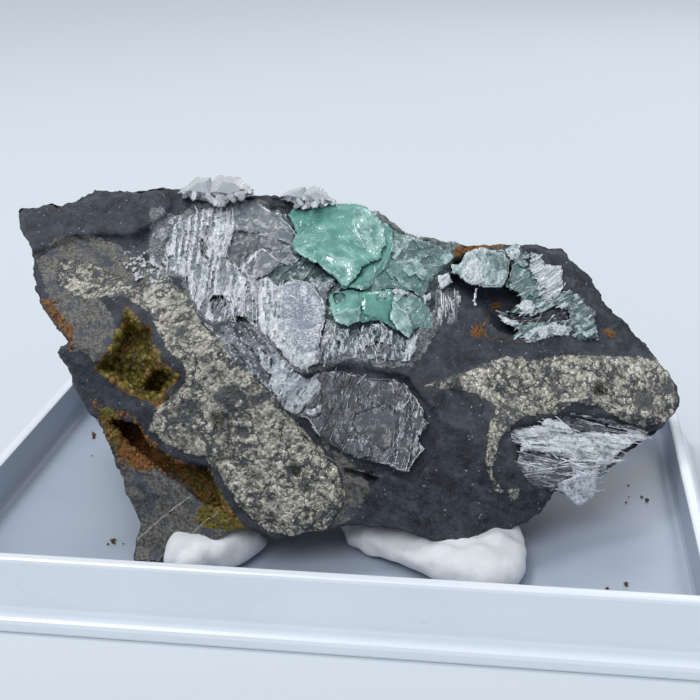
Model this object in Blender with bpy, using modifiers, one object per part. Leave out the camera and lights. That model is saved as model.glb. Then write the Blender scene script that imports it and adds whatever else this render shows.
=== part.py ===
"""A hand-size chunk of slate and pyrite with phosphophyllite crystals, set on putty in a small box base."""

import math
import random

import bmesh
import bpy
from mathutils import Matrix, Vector, noise

MM = 0.001
GAP = 0.35  # between pieces that touch
CLEAR = 0.5  # between a crystal's foot and the rock it stands on
SLACK = 0.45  # how far around a point the rock is looked at
FOOT = 0.8  # a crystal's foot as a share of its widest ring
SPLINTERS = (0.02, 0.006, 0.002, 0.0)  # what is finer is melted away, the first that works
FLAT = math.radians(0.6)  # faces closer than this to one plane are joined

# The box base, millimetres
BOX_WIDTH = 88.2
BOX_DEPTH = 54.0
BOX_HEIGHT = 8.0
WALL = 1.5
FLOOR = 2.6
LEDGE = 2.4
LEDGE_HEIGHT = 1.7
LEDGE_ROUND = 0.5

# The specimen is laid out as its showing side is seen: right, up and near, in millimetres about a middle point
# that lies REACH away from the eye. What is nearer covers more of the view.
EYE = Vector((23.0, -134.3, 78.6))
TURN = math.radians(8.878)
DIP = math.radians(22.149)
ROLL = math.radians(-1.39)
REACH = 150.25
FORWARD = Vector((-math.sin(TURN) * math.cos(DIP), math.cos(TURN) * math.cos(DIP), -math.sin(DIP)))
LEVEL = Vector((math.cos(TURN), math.sin(TURN), 0.0))
UPRIGHT = LEVEL.cross(FORWARD)
RIGHT = math.cos(ROLL) * LEVEL + math.sin(ROLL) * UPRIGHT
UP = -math.sin(ROLL) * LEVEL + math.cos(ROLL) * UPRIGHT

# The rock
BLOCK_HALF = 10.0  # half the thickness of the block that the rock is shaped from
THINNEST = 2.0
ROCK_LOWEST = 4.0  # height of the lowest rock over the table
ROCK_GRAIN = 0.8  # size of the remeshed cells
ROCK_FACES = 4400
ROCK_OUTLINE = (
    (-41.2, 17.4), (-37.4, 17.9), (-34.2, 18.4), (-31.9, 19.8), (-25.0, 19.8), (-19.9, 20.0), (-17.4, 20.4),
    (-14.6, 19.5), (-9.0, 19.2), (-5.5, 18.2), (-0.6, 17.4), (4.1, 16.6), (5.5, 15.5), (6.6, 14.6),
    (10.6, 13.9), (14.0, 13.2), (19.1, 13.0), (23.2, 12.9), (26.2, 12.4), (27.1, 11.2), (29.5, 9.4),
    (31.1, 7.4), (32.6, 4.8), (35.0, 3.1), (36.9, 0.6), (38.1, -1.4), (39.5, -2.9), (40.6, -4.8),
    (41.0, -6.6), (39.8, -8.0), (37.9, -10.4), (34.9, -12.4), (32.2, -14.8), (28.4, -16.6), (25.4, -17.6),
    (23.9, -20.1), (22.2, -21.5), (19.6, -22.9), (17.4, -25.5), (14.5, -25.0), (10.1, -23.8), (7.8, -22.9),
    (3.0, -22.1), (-0.4, -21.9), (-3.0, -22.4), (-6.6, -23.2), (-9.0, -24.0), (-10.6, -22.8), (-13.8, -22.1),
    (-15.4, -22.9), (-17.0, -24.2), (-19.8, -24.0), (-22.2, -24.6), (-23.8, -26.5), (-27.0, -26.4),
    (-26.8, -24.1), (-26.1, -21.8), (-26.9, -19.8), (-28.1, -16.9), (-29.1, -12.9), (-30.4, -9.9),
    (-32.2, -7.5), (-34.6, -4.1), (-35.1, -1.8), (-36.2, -0.5), (-36.1, 0.4), (-34.9, 0.5), (-35.5, 2.0),
    (-37.4, 4.4), (-38.4, 6.0), (-39.2, 9.1), (-39.2, 11.0), (-40.8, 15.2),
)
# Each broken face of the near side, by three points on it
NEAR_FACES = (
    ((-8.0, -5.0, 17.5), (26.0, 0.5, 14.5), (17.4, -25.5, 12.5)),
    ((-8.0, -5.0, 17.5), (-20.0, 5.6, 14.6), (-36.0, 0.0, 8.0)),
    ((-28.0, -6.0, 11.5), (-8.0, -24.0, 12.5), (-26.0, -26.5, 12.4)),
    ((-8.0, -5.0, 17.5), (-20.0, 5.6, 14.6), (0.0, 18.0, -3.0)),
    ((-20.0, 5.6, 14.6), (-39.0, 13.0, 8.5), (-28.0, 19.7, -3.0)),
    ((-8.0, -5.0, 17.5), (26.0, 0.5, 14.5), (12.0, 13.9, -2.0)),
    ((26.0, 0.5, 14.5), (38.0, -1.0, 8.5), (25.0, 12.9, -2.0)),
    ((26.0, 0.5, 14.5), (40.5, -5.0, 6.0), (28.0, -16.6, 8.5)),
    ((-36.0, 12.0, 10.5), (-36.5, -4.0, 7.0), (-41.0, 12.0, 3.0)),
)
FRONT_FACE = NEAR_FACES[2]
# Each broken face of the far side
FAR_FACES = (
    ((-35.0, 18.4, -6.0), (0.0, 17.4, -9.0), (-8.0, 4.0, -15.5)),
    ((0.0, 17.4, -9.0), (29.0, 9.4, -7.0), (15.0, 0.0, -14.0)),
    ((-30.0, 2.0, -9.0), (30.0, -2.0, -9.0), (0.0, -18.0, -5.0)),
    ((-20.0, -10.0, -7.0), (20.0, -12.0, -6.5), (10.0, -24.0, 3.0)),
    ((-41.0, 17.0, -13.0), (-34.0, -6.0, -9.0), (-24.0, 8.0, -16.0)),
    ((41.0, -6.0, -9.0), (33.0, 5.0, -12.0), (22.0, -6.0, -14.0)),
    ((-27.0, -20.0, 4.0), (-15.0, -22.0, 3.5), (-20.0, -8.0, -8.0)),
    ((33.0, -14.0, 1.0), (20.0, -22.0, 3.5), (24.0, -8.0, -8.0)),
)
PLATE_SEAT = 2.1
PLATE_PROUD = 0.35
VUG_BALLS = 22
# The hollows of the near side: outline, depth and the width of its sloping edge
HOLLOWS = {
    "crystal_pocket": (
        ((-23.0, 13.5), (-18.5, 17.0), (-9.0, 18.6), (4.0, 16.0), (13.0, 12.4), (12.0, 6.0), (7.5, 1.0),
         (0.0, -0.5), (-4.5, -2.6), (-7.8, -1.6), (-12.0, 2.2), (-19.5, 5.6)), 4.5, 2.0),
    "right_pocket": (
        ((11.0, 12.0), (19.5, 12.0), (25.0, 9.5), (28.5, 3.5), (24.0, 1.0), (18.0, 1.5), (16.0, 5.0), (11.0, 8.0)),
        3.5, 1.6),
    "vug": (
        ((-27.8, 5.0), (-26.9, 3.2), (-24.8, 2.9), (-23.6, -1.4), (-21.4, -3.2), (-24.5, -6.9), (-32.0, -2.2),
         (-29.5, 1.0)), 5.0, 1.2),
    "plate_seat": (
        ((-9.7, -7.1), (-4.0, -1.5), (1.6, -1.9), (7.6, -3.0), (11.6, -9.1), (10.8, -12.8), (8.2, -17.0),
         (4.5, -15.6), (-0.8, -15.0), (-4.1, -13.1), (-6.6, -9.6)), PLATE_SEAT, 0.5),
    "fibre_seat": (
        ((19.6, -9.4), (27.0, -7.4), (38.6, -8.8), (39.0, -11.4), (32.0, -17.2), (28.4, -20.4), (22.0, -17.0),
         (20.2, -14.0)), 1.8, 1.0),
    "plate_slit": (((-0.8, -14.4), (3.8, -15.6), (3.4, -16.8), (-1.0, -15.4)), 2.4, 0.5),
    "long_pit": (((-17.6, -7.4), (-15.0, -8.0), (-15.4, -10.2), (-17.2, -9.8)), 1.6, 0.7),
    "low_pit": (((-7.4, -14.4), (-6.2, -14.6), (-6.2, -16.0), (-7.2, -15.8)), 1.4, 0.5),
    "right_pit": (((30.2, -4.0), (31.4, -4.4), (32.4, -5.8), (30.4, -5.8)), 2.0, 0.5),
}
# The open gash between the body and the foot slab, and the hole that goes right through beside it
GASH_OUTLINE = (
    (-31.0, -8.4), (-26.1, -9.0), (-24.9, -11.4), (-21.2, -14.2), (-17.6, -14.6), (-16.5, -17.5), (-15.2, -20.6),
    (-18.2, -19.4), (-22.2, -16.6), (-25.0, -14.0), (-27.6, -12.2),
)
GASH_FLOOR = 2.0
HOLE_OUTLINE = ((-29.0, -8.2), (-28.1, -8.6), (-27.5, -10.4), (-27.8, -11.2), (-28.7, -10.0))
# The blobs of putty on the floor of the box, in millimetres to the right of and behind its middle
PUTTY_LEFT = (
    (-17.8, -18.0), (-16.2, -22.2), (-11.5, -23.8), (-6.4, -21.8), (-4.6, -17.0), (-6.0, -11.5), (-12.0, -9.5),
    (-18.0, -12.0),
)
PUTTY_RIGHT = (
    (1.0, -10.4), (4.0, -14.6), (9.0, -18.4), (15.5, -21.2), (22.5, -21.6), (26.0, -18.0), (25.8, -10.0), (20.0, -4.0),
    (10.0, -3.6), (2.6, -6.0),
)


def place(right, up, near):
    """The point in metres that is seen at (right, up), that much nearer than the middle."""
    away = REACH - near
    return (EYE + away * (FORWARD + (right * RIGHT + up * UP) / REACH)) * MM


def seen(point):
    """The (right, up, near) of a point in metres."""
    arm = point / MM - EYE
    away = arm.dot(FORWARD)
    return arm.dot(RIGHT) * REACH / away, arm.dot(UP) * REACH / away, REACH - away


def plane_near(corners, right, up):
    """How near the plane through three points lies at (right, up)."""
    a, b, c = (Vector(corner) for corner in corners)
    n = (b - a).cross(c - a)
    return a.z - (n.x * (right - a.x) + n.y * (up - a.y)) / n.z


def rock_near(right, up):
    """How near the rock's unhollowed near side lies at (right, up)."""
    return min(plane_near(corners, right, up) for corners in NEAR_FACES)


def rock_far(right, up):
    """How near the rock's far side lies at (right, up)."""
    far = max(plane_near(corners, right, up) for corners in FAR_FACES)
    fall = FORWARD.z + (right * RIGHT.z + up * UP.z) / REACH
    underside = REACH - (ROCK_LOWEST - EYE.z) / fall
    return max(min(far, rock_near(right, up) - THINNEST), underside)


def inside_depth(right, up, outline):
    """Distance from (right, up) to the outline, positive inside it."""
    nearest = math.inf
    inside = False
    previous = outline[-1]
    for corner in outline:
        ex, ey = corner[0] - previous[0], corner[1] - previous[1]
        t = ((right - previous[0]) * ex + (up - previous[1]) * ey) / (ex * ex + ey * ey)
        t = min(1.0, max(0.0, t))
        nearest = min(nearest, math.hypot(right - previous[0] - t * ex, up - previous[1] - t * ey))
        if (corner[1] > up) != (previous[1] > up):
            if right < (previous[0] - corner[0]) * (up - corner[1]) / (previous[1] - corner[1]) + corner[0]:
                inside = not inside
        previous = corner
    return nearest if inside else -nearest


def material(name, colour, roughness, metallic=0.0, transmission=0.0):
    """A plain material of one finish."""
    made = bpy.data.materials.new(name)
    made.use_nodes = True
    shader = made.node_tree.nodes["Principled BSDF"]
    shader.inputs["Base Color"].default_value = (*colour, 1.0)
    shader.inputs["Roughness"].default_value = roughness
    shader.inputs["Metallic"].default_value = metallic
    shader.inputs["Transmission Weight"].default_value = transmission
    made.diffuse_color = (*colour, 1.0)
    return made


def new_object(name, mesh, collection, finish=None):
    """An object of this mesh, linked to the collection."""
    made = bpy.data.objects.new(name, mesh)
    collection.objects.link(made)
    if finish:
        mesh.materials.clear()
        mesh.materials.append(finish)
    return made


def as_mesh(bm, name):
    """The bmesh as a mesh with its faces pointing out."""
    bmesh.ops.recalc_face_normals(bm, faces=bm.faces)
    mesh = bpy.data.meshes.new(name)
    bm.to_mesh(mesh)
    bm.free()
    return mesh


def prism(name, outline, near, far, collection):
    """A block whose outline is the same from near to far as the eye sees it."""
    bm = bmesh.new()
    front = [bm.verts.new(place(u, v, near)) for u, v in outline]
    back = [bm.verts.new(place(u, v, far)) for u, v in outline]
    bm.faces.new(front)
    bm.faces.new(back[::-1])
    for i in range(len(outline)):
        j = (i + 1) % len(outline)
        bm.faces.new((front[j], front[i], back[i], back[j]))
    bmesh.ops.triangulate(bm, faces=bm.faces)
    return new_object(name, as_mesh(bm, name), collection)


def boolean(target, operation, cutters):
    """Adds an exact Boolean of the target with all the objects of a collection."""
    step = target.modifiers.new(operation.lower(), "BOOLEAN")
    step.solver = "EXACT"
    step.operation = operation
    step.operand_type = "COLLECTION"
    step.collection = cutters
    return step


def cut(target, cutter):
    """Adds an exact Boolean that takes one cutter away."""
    step = target.modifiers.new(cutter.name, "BOOLEAN")
    step.solver = "EXACT"
    step.operation = "DIFFERENCE"
    step.object = cutter


def settle(target):
    """Replaces the object's mesh by what its modifiers make of it."""
    graph = bpy.context.evaluated_depsgraph_get()
    made = bpy.data.meshes.new_from_object(target.evaluated_get(graph))
    target.modifiers.clear()
    target.data = made


def tidy(target):
    """Joins triangles that lie in one plane and melts splinters away, as far as the surface stays closed."""
    for finest in SPLINTERS:
        bm = bmesh.new()
        bm.from_mesh(target.data)
        if finest:
            bmesh.ops.remove_doubles(bm, verts=bm.verts, dist=finest * MM)
            bmesh.ops.dissolve_degenerate(bm, dist=finest * MM, edges=bm.edges)
        bmesh.ops.dissolve_limit(bm, angle_limit=FLAT, verts=bm.verts, edges=bm.edges)
        bmesh.ops.triangulate(bm, faces=bm.faces)
        closed = all(edge.is_manifold for edge in bm.edges)
        if closed:
            bm.to_mesh(target.data)
        bm.free()
        if closed:
            return


def keep_largest(target):
    """Drops every loose part of the mesh but the one with the most corners."""
    bm = bmesh.new()
    bm.from_mesh(target.data)
    left = set(bm.verts)
    parts = []
    while left:
        stack = [left.pop()]
        part = set(stack)
        while stack:
            for edge in stack.pop().link_edges:
                for corner in edge.verts:
                    if corner in left:
                        left.discard(corner)
                        part.add(corner)
                        stack.append(corner)
        parts.append(part)
    parts.sort(key=len)
    for part in parts[:-1]:
        bmesh.ops.delete(bm, geom=list(part), context="VERTS")
    bm.to_mesh(target.data)
    bm.free()


def hide_cutters(collection):
    """Marks a collection's objects as shaping aids."""
    for helper in collection.objects:
        helper.hide_render = True
        helper.display_type = "WIRE"


def rock_roughness(point):
    """How far the broken surface stands out at a point, in millimetres: lumps, slaty ledges and grain."""
    p = point / MM
    lumps = noise.fractal(p * 0.09, 0.8, 2.1, 3)
    bed = p.dot(Vector((0.35, -0.25, 0.9))) * 0.55 + 1.2 * noise.noise(p * 0.11)
    ledges = abs((bed % 1.0) - 0.5) - 0.25
    grain = noise.noise(p * 0.5)
    return 0.9 * lumps + 0.7 * ledges + 0.25 * grain


def smooth_step(value):
    """0 below 0, 1 above 1, and an even curve between them."""
    value = min(1.0, max(0.0, value))
    return value * value * (3.0 - 2.0 * value)


def build_rock(collection, cutters, finish):
    """The matrix: a block drawn out to its broken faces, roughened, and hollowed where the crystals sit."""
    rock = prism("matrix_rock", ROCK_OUTLINE, BLOCK_HALF, -BLOCK_HALF, collection)
    openings = bpy.data.collections.new("rock_openings")
    cutters.children.link(openings)
    cut(rock, prism("gash", GASH_OUTLINE, BLOCK_HALF + 2.0, GASH_FLOOR, openings))
    cut(rock, prism("hole", HOLE_OUTLINE, BLOCK_HALF + 3.0, -BLOCK_HALF - 2.0, openings))
    hide_cutters(openings)
    cells = rock.modifiers.new("cells", "REMESH")
    cells.mode = "VOXEL"
    cells.voxel_size = ROCK_GRAIN * MM
    settle(rock)
    mesh = rock.data
    for vertex in mesh.vertices:
        right, up, near = seen(vertex.co)
        share = (near + BLOCK_HALF) / (2.0 * BLOCK_HALF)
        far = rock_far(right, up)
        vertex.co = place(right, up, far + share * (rock_near(right, up) - far))
    mesh.update()
    normals = [vertex.normal.copy() for vertex in mesh.vertices]
    for vertex, normal in zip(mesh.vertices, normals):
        right, up, near = seen(vertex.co)
        facing = smooth_step(-normal.dot(FORWARD) * 2.5)
        sink = hollow_depth(right, up) * facing
        rough = rock_roughness(vertex.co) * (0.45 + 0.55 * abs(normal.dot(FORWARD)))
        rough *= (1.0 - 0.9 * smooth_step(sink)) * (0.15 + 0.85 * smooth_step((vertex.co.z / MM - 5.0) / 5.0))
        right, up, near = seen(vertex.co + normal * rough * MM)
        vertex.co = place(right, up, near - sink)
    fewer = rock.modifiers.new("fewer", "DECIMATE")
    fewer.ratio = ROCK_FACES / (2.0 * len(mesh.polygons))
    settle(rock)
    rock.data.materials.clear()
    rock.data.materials.append(finish)
    return rock


def hollow_depth(right, up):
    """How deep the hollows go at (right, up)."""
    return max(
        depth * smooth_step(inside_depth(right, up, outline) / edge) for outline, depth, edge in HOLLOWS.values()
    )


def surface_near(right, up):
    """How near the hollowed rock surface comes at (right, up) and close around it."""
    spots = ((right, up), (right - SLACK, up), (right + SLACK, up), (right, up - SLACK), (right, up + SLACK))
    return max(rock_near(u, v) - hollow_depth(u, v) for u, v in spots)


def sunk_depth(bm, clearance):
    """How far the far side of a hull lies too deep, at most, to stay clear of the rock."""
    deepest = 0.0
    shares = [(i / 5.0, j / 5.0) for i in range(6) for j in range(6 - i)]
    for face in bm.faces:
        if face.normal.dot(FORWARD) < 0.0:
            continue
        a, b, c = (vertex.co for vertex in face.verts[:3])
        for s, t in shares:
            right, up, near = seen(a + s * (b - a) + t * (c - a))
            deepest = max(deepest, surface_near(right, up) + clearance - near)
    return deepest


def rings_of(outline, near, relief, rise, lean, inset, clearance, lift):
    """The corners of a crystal: its foot, its widest ring and its front ring."""
    mid_u = sum(u for u, v in outline) / len(outline)
    mid_v = sum(v for u, v in outline) / len(outline)
    small = [(mid_u + FOOT * (u - mid_u), mid_v + FOOT * (v - mid_v)) for u, v in outline]
    feet = [surface_near(u, v) + clearance + lift for u, v in small]
    if near is None:
        near = sum(feet) / len(feet) + rise
    spots = [place(u, v, foot) for (u, v), foot in zip(small, feet)]
    for u, v in outline:
        tip = lean[0] * (u - mid_u) + lean[1] * (v - mid_v)
        spots.append(place(u, v, max(near + tip, surface_near(u, v) + clearance + lift)))
        top_u, top_v = mid_u + inset * (u - mid_u), mid_v + inset * (v - mid_v)
        least = surface_near(top_u, top_v) + clearance + lift + 0.3
        spots.append(place(top_u, top_v, max(near + inset * tip + relief, least)))
    return spots


def crystal(name, outline, collection, near=None, relief=0.8, rise=0.8, lean=(0.0, 0.0), inset=0.72, clearance=CLEAR):
    """One flat-faced crystal: the hull of its foot on the rock, its widest ring and a smaller front ring.

    near is where the middle of the widest ring lies, by default rise over the foot. relief is how far the front
    stands off that ring, and lean tips both, per millimetre to the right and up.
    """
    lift = 0.0
    while True:
        bm = bmesh.new()
        for spot in rings_of(outline, near, relief, rise, lean, inset, clearance, lift):
            bm.verts.new(spot)
        hull = bmesh.ops.convex_hull(bm, input=bm.verts)
        spare = [g for g in hull["geom_interior"] + hull["geom_unused"] if isinstance(g, bmesh.types.BMVert)]
        bmesh.ops.delete(bm, geom=list(set(spare)), context="VERTS")
        bmesh.ops.recalc_face_normals(bm, faces=bm.faces)
        sunk = sunk_depth(bm, clearance)
        if sunk < 0.05:
            return new_object(name, as_mesh(bm, name), collection)
        lift += sunk
        bm.free()


def lath(middle, length, width, angle, point=0.35):
    """The six-sided outline of a blade that runs at this angle from upright."""
    along = Vector((math.sin(angle), math.cos(angle)))
    across = Vector((along.y, -along.x))
    half, wide = length / 2.0, width / 2.0
    tip = half * (1.0 - point)
    spots = ((half, 0.0), (tip, wide), (-tip, wide), (-half, 0.0), (-tip, -wide), (tip, -wide))
    return tuple(
        (middle[0] + along.x * a + across.x * c, middle[1] + along.y * a + across.y * c) for a, c in spots
    )


def fan(seed, count, corners, length, width, angle, relief=0.8, rise=1.4, sway=0.35):
    """Crystal settings for a crowd of blades inside the outline given by its corners."""
    dice = random.Random(seed)
    low_u, high_u = min(u for u, v in corners), max(u for u, v in corners)
    low_v, high_v = min(v for u, v in corners), max(v for u, v in corners)
    made = []
    while len(made) < count:
        middle = dice.uniform(low_u, high_u), dice.uniform(low_v, high_v)
        turned = angle + dice.uniform(-sway, sway)
        outline = lath(middle, dice.uniform(*length), dice.uniform(*width), turned)
        lift = dice.uniform(0.5, 1.0) * rise
        lean = (dice.uniform(-0.5, 0.5), dice.uniform(-0.6, 0.1))
        if min(inside_depth(u, v, corners) for u, v in outline) > 0.0:
            made.append(dict(outline=outline, rise=lift, relief=relief, lean=lean))
    return made


def seat(corners, rise=0.5, clearance=CLEAR):
    """Crystal settings for the low mass that a cluster's crystals grow from."""
    return dict(outline=corners, rise=rise, relief=0.5, inset=0.9, clearance=clearance)


UPPER_GREEN = (
    seat(((-6.6, 13.5), (-5.5, 17.2), (2.8, 17.0), (5.6, 12.6), (1.0, 10.2), (-3.6, 11.2)), 1.5),
    dict(outline=((-7.6, 12.9), (-6.4, 14.6), (-1.2, 17.2), (0.6, 14.5), (-0.6, 9.0), (-1.6, 8.8), (-4.6, 10.4)),
         near=9.4, relief=1.6, lean=(0.35, -0.5), inset=0.55),
    dict(outline=((-8.0, 16.6), (-7.2, 17.5), (-3.0, 18.0), (-0.4, 16.8), (-3.2, 13.8), (-6.2, 14.6)),
         near=5.6, relief=1.3, lean=(0.3, -0.5), inset=0.6),
    dict(outline=((-2.6, 17.4), (0.4, 18.5), (1.4, 18.0), (3.2, 12.4), (1.0, 9.6), (-0.8, 10.2)),
         near=8.2, relief=1.7, lean=(-0.1, -0.55), inset=0.45),
    dict(outline=((1.0, 17.9), (3.8, 16.6), (5.0, 12.2), (3.2, 10.4), (1.6, 10.8)),
         near=6.8, relief=1.3, lean=(-0.3, -0.5), inset=0.5),
    dict(outline=((3.0, 16.2), (4.4, 13.8), (6.6, 12.0), (5.4, 10.8), (3.2, 11.0)),
         near=4.8, relief=0.9, lean=(-0.3, -0.5), inset=0.6),
    dict(outline=((-1.8, 9.6), (0.6, 11.4), (2.6, 9.8), (0.4, 8.6), (-1.2, 8.6)),
         near=9.0, relief=0.8, lean=(0.0, -0.4), inset=0.7),
)
LOWER_GREEN = (
    seat(((-2.2, 6.8), (5.0, 6.6), (6.8, 3.0), (5.4, 2.6), (1.0, 4.2), (-1.4, 3.6)), 1.0),
    dict(outline=((-2.8, 7.2), (0.6, 7.5), (1.2, 5.4), (0.9, 3.4), (-1.0, 3.2), (-2.6, 5.0)),
         near=11.4, relief=1.2, lean=(0.15, -0.5), inset=0.7),
    dict(outline=((0.6, 7.6), (3.6, 7.4), (5.0, 6.6), (4.6, 3.8), (1.6, 4.6), (0.8, 5.6)),
         near=10.4, relief=1.0, lean=(-0.15, -0.5), inset=0.75),
    dict(outline=((4.4, 6.7), (5.8, 6.0), (7.9, 2.8), (7.2, 1.6), (5.6, 2.4), (4.3, 4.4)),
         near=11.2, relief=1.2, lean=(-0.2, -0.4), inset=0.6),
)
CLEAR_CORNERS = (
    (-22.6, 9.0), (-21.6, 14.6), (-17.0, 16.6), (-13.5, 18.0), (-9.2, 16.6), (-8.6, 11.4), (-4.8, 8.2), (-3.4, 6.0),
    (-3.4, -1.6), (-5.4, -2.2), (-8.0, -1.0), (-12.0, 2.4), (-15.2, 3.8), (-19.0, 5.8),
)
CLEAR_PLATES = (
    seat(((-20.6, 8.0), (-20.0, 14.0), (-12.0, 16.4), (-9.8, 12.0), (-4.6, 2.0), (-6.4, -0.6), (-12.0, 3.2)), 0.8),
    dict(outline=((-10.2, 8.4), (-5.0, 8.2), (-3.4, 4.4), (-3.8, -1.4), (-5.6, -2.2), (-9.6, 2.0)),
         near=13.0, relief=0.7, lean=(0.05, -0.55), inset=0.86),
    dict(outline=((-14.6, 15.0), (-12.8, 18.0), (-9.6, 16.2), (-9.2, 11.6), (-11.2, 9.8), (-15.0, 11.0)),
         near=6.4, relief=0.7, lean=(0.1, -0.7), inset=0.85),
    dict(outline=((-11.8, 12.0), (-10.8, 12.6), (-9.0, 11.0), (-10.2, 9.0), (-12.0, 9.8)),
         near=9.6, relief=0.7, lean=(0.1, -0.5), inset=0.8),
    dict(outline=((-20.4, 15.2), (-18.2, 16.8), (-15.6, 15.6), (-15.2, 9.0), (-17.6, 6.6), (-21.0, 9.6)),
         near=8.6, relief=0.8, lean=(-0.1, -0.65), inset=0.85),
    dict(outline=((-25.0, 16.0), (-23.6, 17.8), (-22.0, 15.6), (-22.4, 11.0), (-24.8, 12.6)),
         near=7.8, relief=0.6, lean=(0.1, -0.6), inset=0.75),
    dict(outline=((-24.6, 13.4), (-21.0, 13.6), (-19.4, 10.0), (-21.4, 8.6)),
         near=8.9, relief=0.4, lean=(0.1, -0.6), inset=0.8),
)
DRUSE_CORNERS = (
    (6.0, 10.4), (7.9, 11.8), (10.4, 13.2), (11.0, 11.4), (10.8, 8.6), (11.2, 4.4), (9.6, 1.6), (8.5, 2.2),
    (8.2, 3.6), (7.0, 6.6), (5.6, 7.8), (0.4, 7.9), (2.6, 9.0), (4.4, 10.2),
)
OLIVE_CORNERS = (
    (-2.8, 2.6), (1.2, 3.0), (2.0, 3.9), (5.2, 2.0), (6.8, 1.2), (8.2, 1.2), (7.4, -1.0), (3.2, -0.8),
    (-0.4, -0.6), (-2.6, -1.6),
)
PALE_RIGHT = (
    seat(((12.0, 11.2), (14.0, 12.4), (18.8, 12.0), (18.8, 8.8), (15.0, 8.4), (12.2, 9.4)), 0.9),
    dict(outline=((11.3, 10.2), (12.6, 11.6), (13.6, 10.6), (13.0, 8.6), (11.4, 8.6)),
         rise=2.0, relief=0.9, lean=(0.1, -0.6), inset=0.6),
    dict(outline=((12.6, 11.8), (14.4, 12.9), (16.0, 12.2), (16.2, 8.4), (14.0, 8.2), (12.8, 9.4)),
         rise=2.4, relief=1.4, lean=(0.2, -0.7), inset=0.5),
    dict(outline=((15.8, 12.4), (18.8, 12.9), (19.9, 10.6), (19.0, 8.8), (17.4, 8.0), (16.0, 8.6)),
         rise=2.2, relief=1.2, lean=(-0.2, -0.8), inset=0.65),
    dict(outline=((11.8, 8.9), (13.4, 8.9), (13.4, 4.4), (11.8, 4.6)),
         rise=1.6, relief=0.6, lean=(0.1, -0.7), inset=0.8),
)
BLADED_CORNERS = (
    (20.4, 12.0), (23.6, 11.8), (26.0, 9.6), (28.2, 6.4), (28.8, 3.4), (27.0, 1.2), (22.6, 1.4), (18.4, 2.6),
    (18.8, 5.4), (20.2, 7.6), (20.4, 9.6),
)
PLATE_OUTLINE = (
    (-8.1, -7.2), (-3.6, -2.8), (-1.0, -2.8), (1.5, -3.5), (6.0, -3.8), (7.5, -4.9), (10.0, -9.2), (9.0, -10.8),
    (9.5, -12.1), (7.9, -13.9), (7.4, -15.4), (4.8, -14.2), (-0.4, -13.5), (-3.0, -11.9), (-5.2, -8.5),
)
FIBRE_CORNERS = (
    (20.8, -10.6), (26.0, -9.2), (36.0, -10.2), (37.6, -11.2), (34.0, -14.0), (30.4, -17.4), (28.4, -19.2),
    (26.4, -17.4), (22.0, -15.6),
)
BACK_CLUMPS = {
    "back_crystals_left": (
        seat(((-21.0, 19.2), (-19.0, 20.6), (-14.0, 20.6), (-12.4, 19.4), (-16.4, 18.2)), 0.6, clearance=1.0),
        dict(outline=((-21.6, 19.6), (-19.4, 21.4), (-17.4, 21.6), (-16.6, 18.8)), rise=2.2, relief=1.4, inset=0.5,
             clearance=1.0),
        dict(outline=((-18.4, 19.4), (-16.6, 21.8), (-13.8, 21.4), (-11.9, 20.0), (-15.0, 18.8)), rise=2.0, relief=1.6,
             inset=0.5, clearance=1.0),
    ),
    "back_crystals_right": (
        seat(((-8.6, 18.8), (-6.2, 19.8), (-3.6, 19.4), (-2.4, 18.6), (-6.0, 18.2)), 0.6, clearance=1.0),
        dict(outline=((-8.8, 19.2), (-7.6, 20.0), (-5.6, 20.4), (-5.0, 18.4)), rise=2.2, relief=1.2, inset=0.5,
             clearance=1.0),
        dict(outline=((-6.2, 19.4), (-4.6, 20.6), (-3.0, 19.6), (-1.8, 18.4), (-4.6, 18.2)), rise=2.0, relief=1.4,
             inset=0.5, clearance=1.0),
    ),
}
VUG_MIDDLE = (-26.6, -1.0)


def build_cluster(name, settings, collection, cutters, finish):
    """A cluster of crystals that grew together, as one body."""
    parts = bpy.data.collections.new(f"{name}_crystals")
    cutters.children.link(parts)
    base = crystal(name, collection=collection, **settings[0])
    for i, setting in enumerate(settings[1:]):
        crystal(f"{name}_crystal_{i}", collection=parts, **setting)
    hide_cutters(parts)
    boolean(base, "UNION", parts)
    settle(base)
    keep_largest(base)
    tidy(base)
    base.data.materials.clear()
    base.data.materials.append(finish)
    return base


def build_plate(collection, finish):
    """The clear cleavage plate, set flush into the front: a thin slab with a bevelled rim."""
    bm = bmesh.new()
    middle = Vector((1.2, -8.8))
    rings = []
    for inset, height in ((0.3, CLEAR - PLATE_SEAT), (0.0, -0.1), (0.5, PLATE_PROUD)):
        ring = []
        for corner in PLATE_OUTLINE:
            arm = Vector(corner) - middle
            spot = middle + arm * ((arm.length - inset) / arm.length)
            ring.append(bm.verts.new(place(*spot, plane_near(FRONT_FACE, *corner) + height)))
        rings.append(ring)
    bridge(bm, rings)
    bmesh.ops.triangulate(bm, faces=bm.faces)
    return new_object("cleavage_plate", as_mesh(bm, "cleavage_plate"), collection, finish)


def bridge(bm, rings):
    """Closes a stack of equal rings into a body."""
    for low, high in zip(rings, rings[1:]):
        for i in range(len(low)):
            j = (i + 1) % len(low)
            bm.faces.new((low[i], low[j], high[j], high[i]))
    bm.faces.new(rings[0])
    bm.faces.new(rings[-1])


def vug_balls():
    """Places and sizes of the balls that line the vug."""
    dice = random.Random(12)
    outline = HOLLOWS["vug"][0]
    balls = []
    while len(balls) < VUG_BALLS:
        u, v = dice.uniform(-32.0, -21.4), dice.uniform(-6.9, 5.0)
        size = dice.uniform(0.8, 1.3)
        if inside_depth(u, v, outline) < 1.3:
            continue
        near = surface_near(u, v) + CLEAR + size
        for step in range(8):
            turn = step * math.pi / 4.0
            for share, sag in ((0.7, 0.71), (1.0, 0.0)):
                side = surface_near(u + share * size * math.cos(turn), v + share * size * math.sin(turn))
                near = max(near, side + CLEAR + sag * size)
        balls.append((u, v, near, size))
    return balls


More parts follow.
